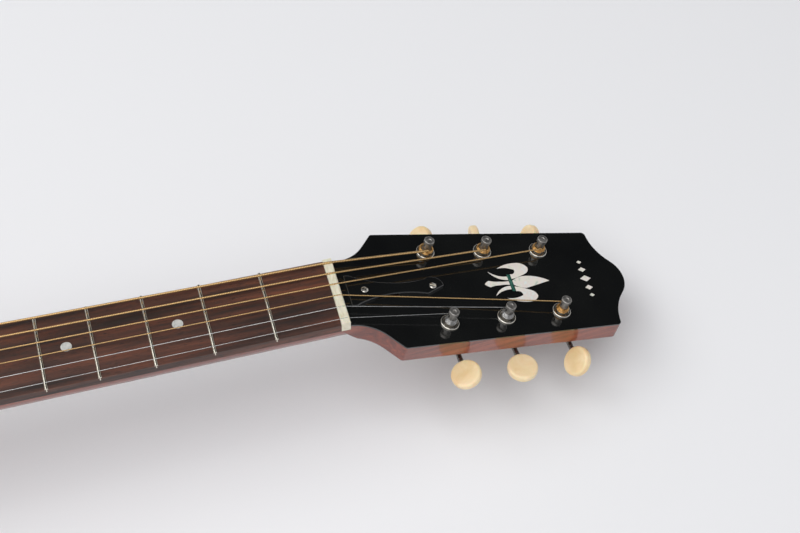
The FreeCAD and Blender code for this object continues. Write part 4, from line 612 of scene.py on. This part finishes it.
def makePinEyes(eye):
    low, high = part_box("bridge_pins")
    first, last = low.y + eye["headRadius"] * mm, high.y - eye["headRadius"] * mm
    for pin in range(6):
        centreY = first + (last - first) * pin / 5
        near = [v.co for v in frame["nodes"]["bridge_pins"].data.vertices
                if abs(v.co.y - centreY) < eye["headRadius"] * mm]
        top = max(near, key=lambda co: co.z)
        crown = [co.x for co in near if co.z > top.z - mm]
        middleX = (max(crown) + min(crown)) / 2
        profile = [(0, -eye["sunk"]), (eye["radius"], -eye["sunk"]), (eye["radius"], eye["rise"] * 0.2),
                   (eye["radius"] * 0.8, eye["rise"] * 0.6), (eye["radius"] * 0.45, eye["rise"] * 0.9),
                   (0, eye["rise"])]
        points, faces = turnedShape([(r * mm, h * mm) for r, h in profile],
                                    Vector((middleX, centreY, top.z)), Vector((0, 0, 1)), eye["sides"])
        newPiece("pin_eye_%d" % (pin + 1), points, faces, "pearlShell", "root")


makePinEyes(pinEye)

# ---- slotted screws that hold the gears on the posts
gearScrew = {"radius": 2, "tall": 1, "slotWide": 0.6, "slotDeep": 0.5, "arcSteps": 12}


# one closed shell: a disc, split above its slot's floor into two caps
def makeGearScrew(number, screw):
    centre, axis = postAxis(number)
    corners = [v.co for v in frame["nodes"]["post_gear_%d" % number].data.vertices]
    seat = min((co - centre).dot(axis) for co in corners)
    across, along = crossDirections(axis)
    radius, steps = screw["radius"] * mm, screw["arcSteps"]
    start = math.asin(screw["slotWide"] / 2 / screw["radius"])
    angles = [base + start + (math.pi - 2 * start) * i / steps
              for base in (0, math.pi) for i in range(steps + 1)]
    floor = seat - (screw["tall"] - screw["slotDeep"]) * mm
    points = [centre + axis * height + (across * math.cos(a) + along * math.sin(a)) * radius
              for height in (seat, floor, seat - screw["tall"] * mm) for a in angles]
    count, last = len(angles), steps
    faces = [tuple(range(count))]
    for k in range(count):
        after = (k + 1) % count
        faces.append((k, after, count + after, count + k))
        if k not in (last, count - 1):
            faces.append((count + k, count + after, 2 * count + after, 2 * count + k))
    for first, final in ((0, last), (last + 1, count - 1)):
        faces.append(tuple(range(2 * count + first, 2 * count + final + 1)))
        faces.append((count + first, count + final, 2 * count + final, 2 * count + first))
    faces.append((count, count + last, count + last + 1, 2 * count - 1))
    piece = newPiece("gear_screw_%d" % number, points, faces, "nickelBuffed", "post_%d" % number)
    piece.data.shade_flat()


for number in strungWith:
    makeGearScrew(number, gearScrew)
print("pins and gear screws made")

# ---- floor and light
studio = {
    "floor": "#EDEDEE", "floorSize": 12, "floorRoughness": 0.8, "floorDrop": 0.5,    # the drop is in mm
    "keyPlace": (-0.4, -0.7, 1.9), "keySize": 2.4, "keyPower": 29,
    "fillPlace": (-1.1, 0.5, 1.5), "fillSize": 1.2, "fillPower": 9,
    # pale near the horizon, dimmer overhead, and darkest where the head face and board reflect it
    "skyLow": "#F2F2F3", "skyHigh": "#B0B1B5", "skyDark": "#2E2F32",
    "darkTowards": (0.36, 0.6, 0.7),
}


def layFloor(look):
    half, level = look["floorSize"] / 2, -look["floorDrop"] * mm
    mesh = bpy.data.meshes.new("floor")
    corners = [(-half, -half, level), (half, -half, level), (half, half, level), (-half, half, level)]
    mesh.from_pydata(corners, [], [(0, 1, 2, 3)])
    floor = bpy.data.objects.new("floor", mesh)
    bpy.context.scene.collection.objects.link(floor)
    material, tree, shader = newMaterial("paperWhite")   # seamless backdrop paper, matt
    setShader(shader, {"Base Color": linearColour(look["floor"]), "Roughness": look["floorRoughness"]})
    floor.data.materials.append(material)


def hangLight(name, offset, size, power):
    data = bpy.data.lights.new(name, "AREA")
    data.shape, data.size, data.energy = "DISK", size, power
    light = bpy.data.objects.new(name, data)
    light.location = lookAt + Vector(offset)
    light.rotation_euler = (-Vector(offset)).to_track_quat("-Z", "Y").to_euler()
    bpy.context.scene.collection.objects.link(light)


def paintSky(look):
    world = bpy.data.worlds.new("studio")
    world.use_nodes = True
    bpy.context.scene.world = world
    tree = world.node_tree
    place = addNode(tree, "ShaderNodeTexCoord").outputs["Generated"]
    split = addNode(tree, "ShaderNodeSeparateXYZ", links={"Vector": place})
    ramp = fillRamp(addNode(tree, "ShaderNodeValToRGB", links={"Fac": split.outputs["Z"]}),
                    [(0.1, look["skyLow"]), (0.4, look["skyHigh"])])
    towards = addNode(tree, "ShaderNodeVectorMath", {"operation": "DOT_PRODUCT"}, links={0: place})
    towards.inputs[1].default_value = Vector(look["darkTowards"]).normalized()
    shade = addNode(tree, "ShaderNodeMapRange", sockets={"From Min": 0.72, "From Max": 0.93},
                    links={"Value": towards.outputs["Value"]})
    dimmed = addNode(tree, "ShaderNodeMixRGB", sockets={"Color2": linearColour(look["skyDark"])},
                     links={"Fac": shade.outputs["Result"], "Color1": ramp.outputs["Color"]})
    tree.links.new(dimmed.outputs["Color"], tree.nodes["Background"].inputs["Color"])


layFloor(studio)
hangLight("key", studio["keyPlace"], studio["keySize"], studio["keyPower"])
hangLight("fill", studio["fillPlace"], studio["fillSize"], studio["fillPower"])
paintSky(studio)
bpy.context.scene.view_settings.view_transform = "Standard"
print("studio lit")
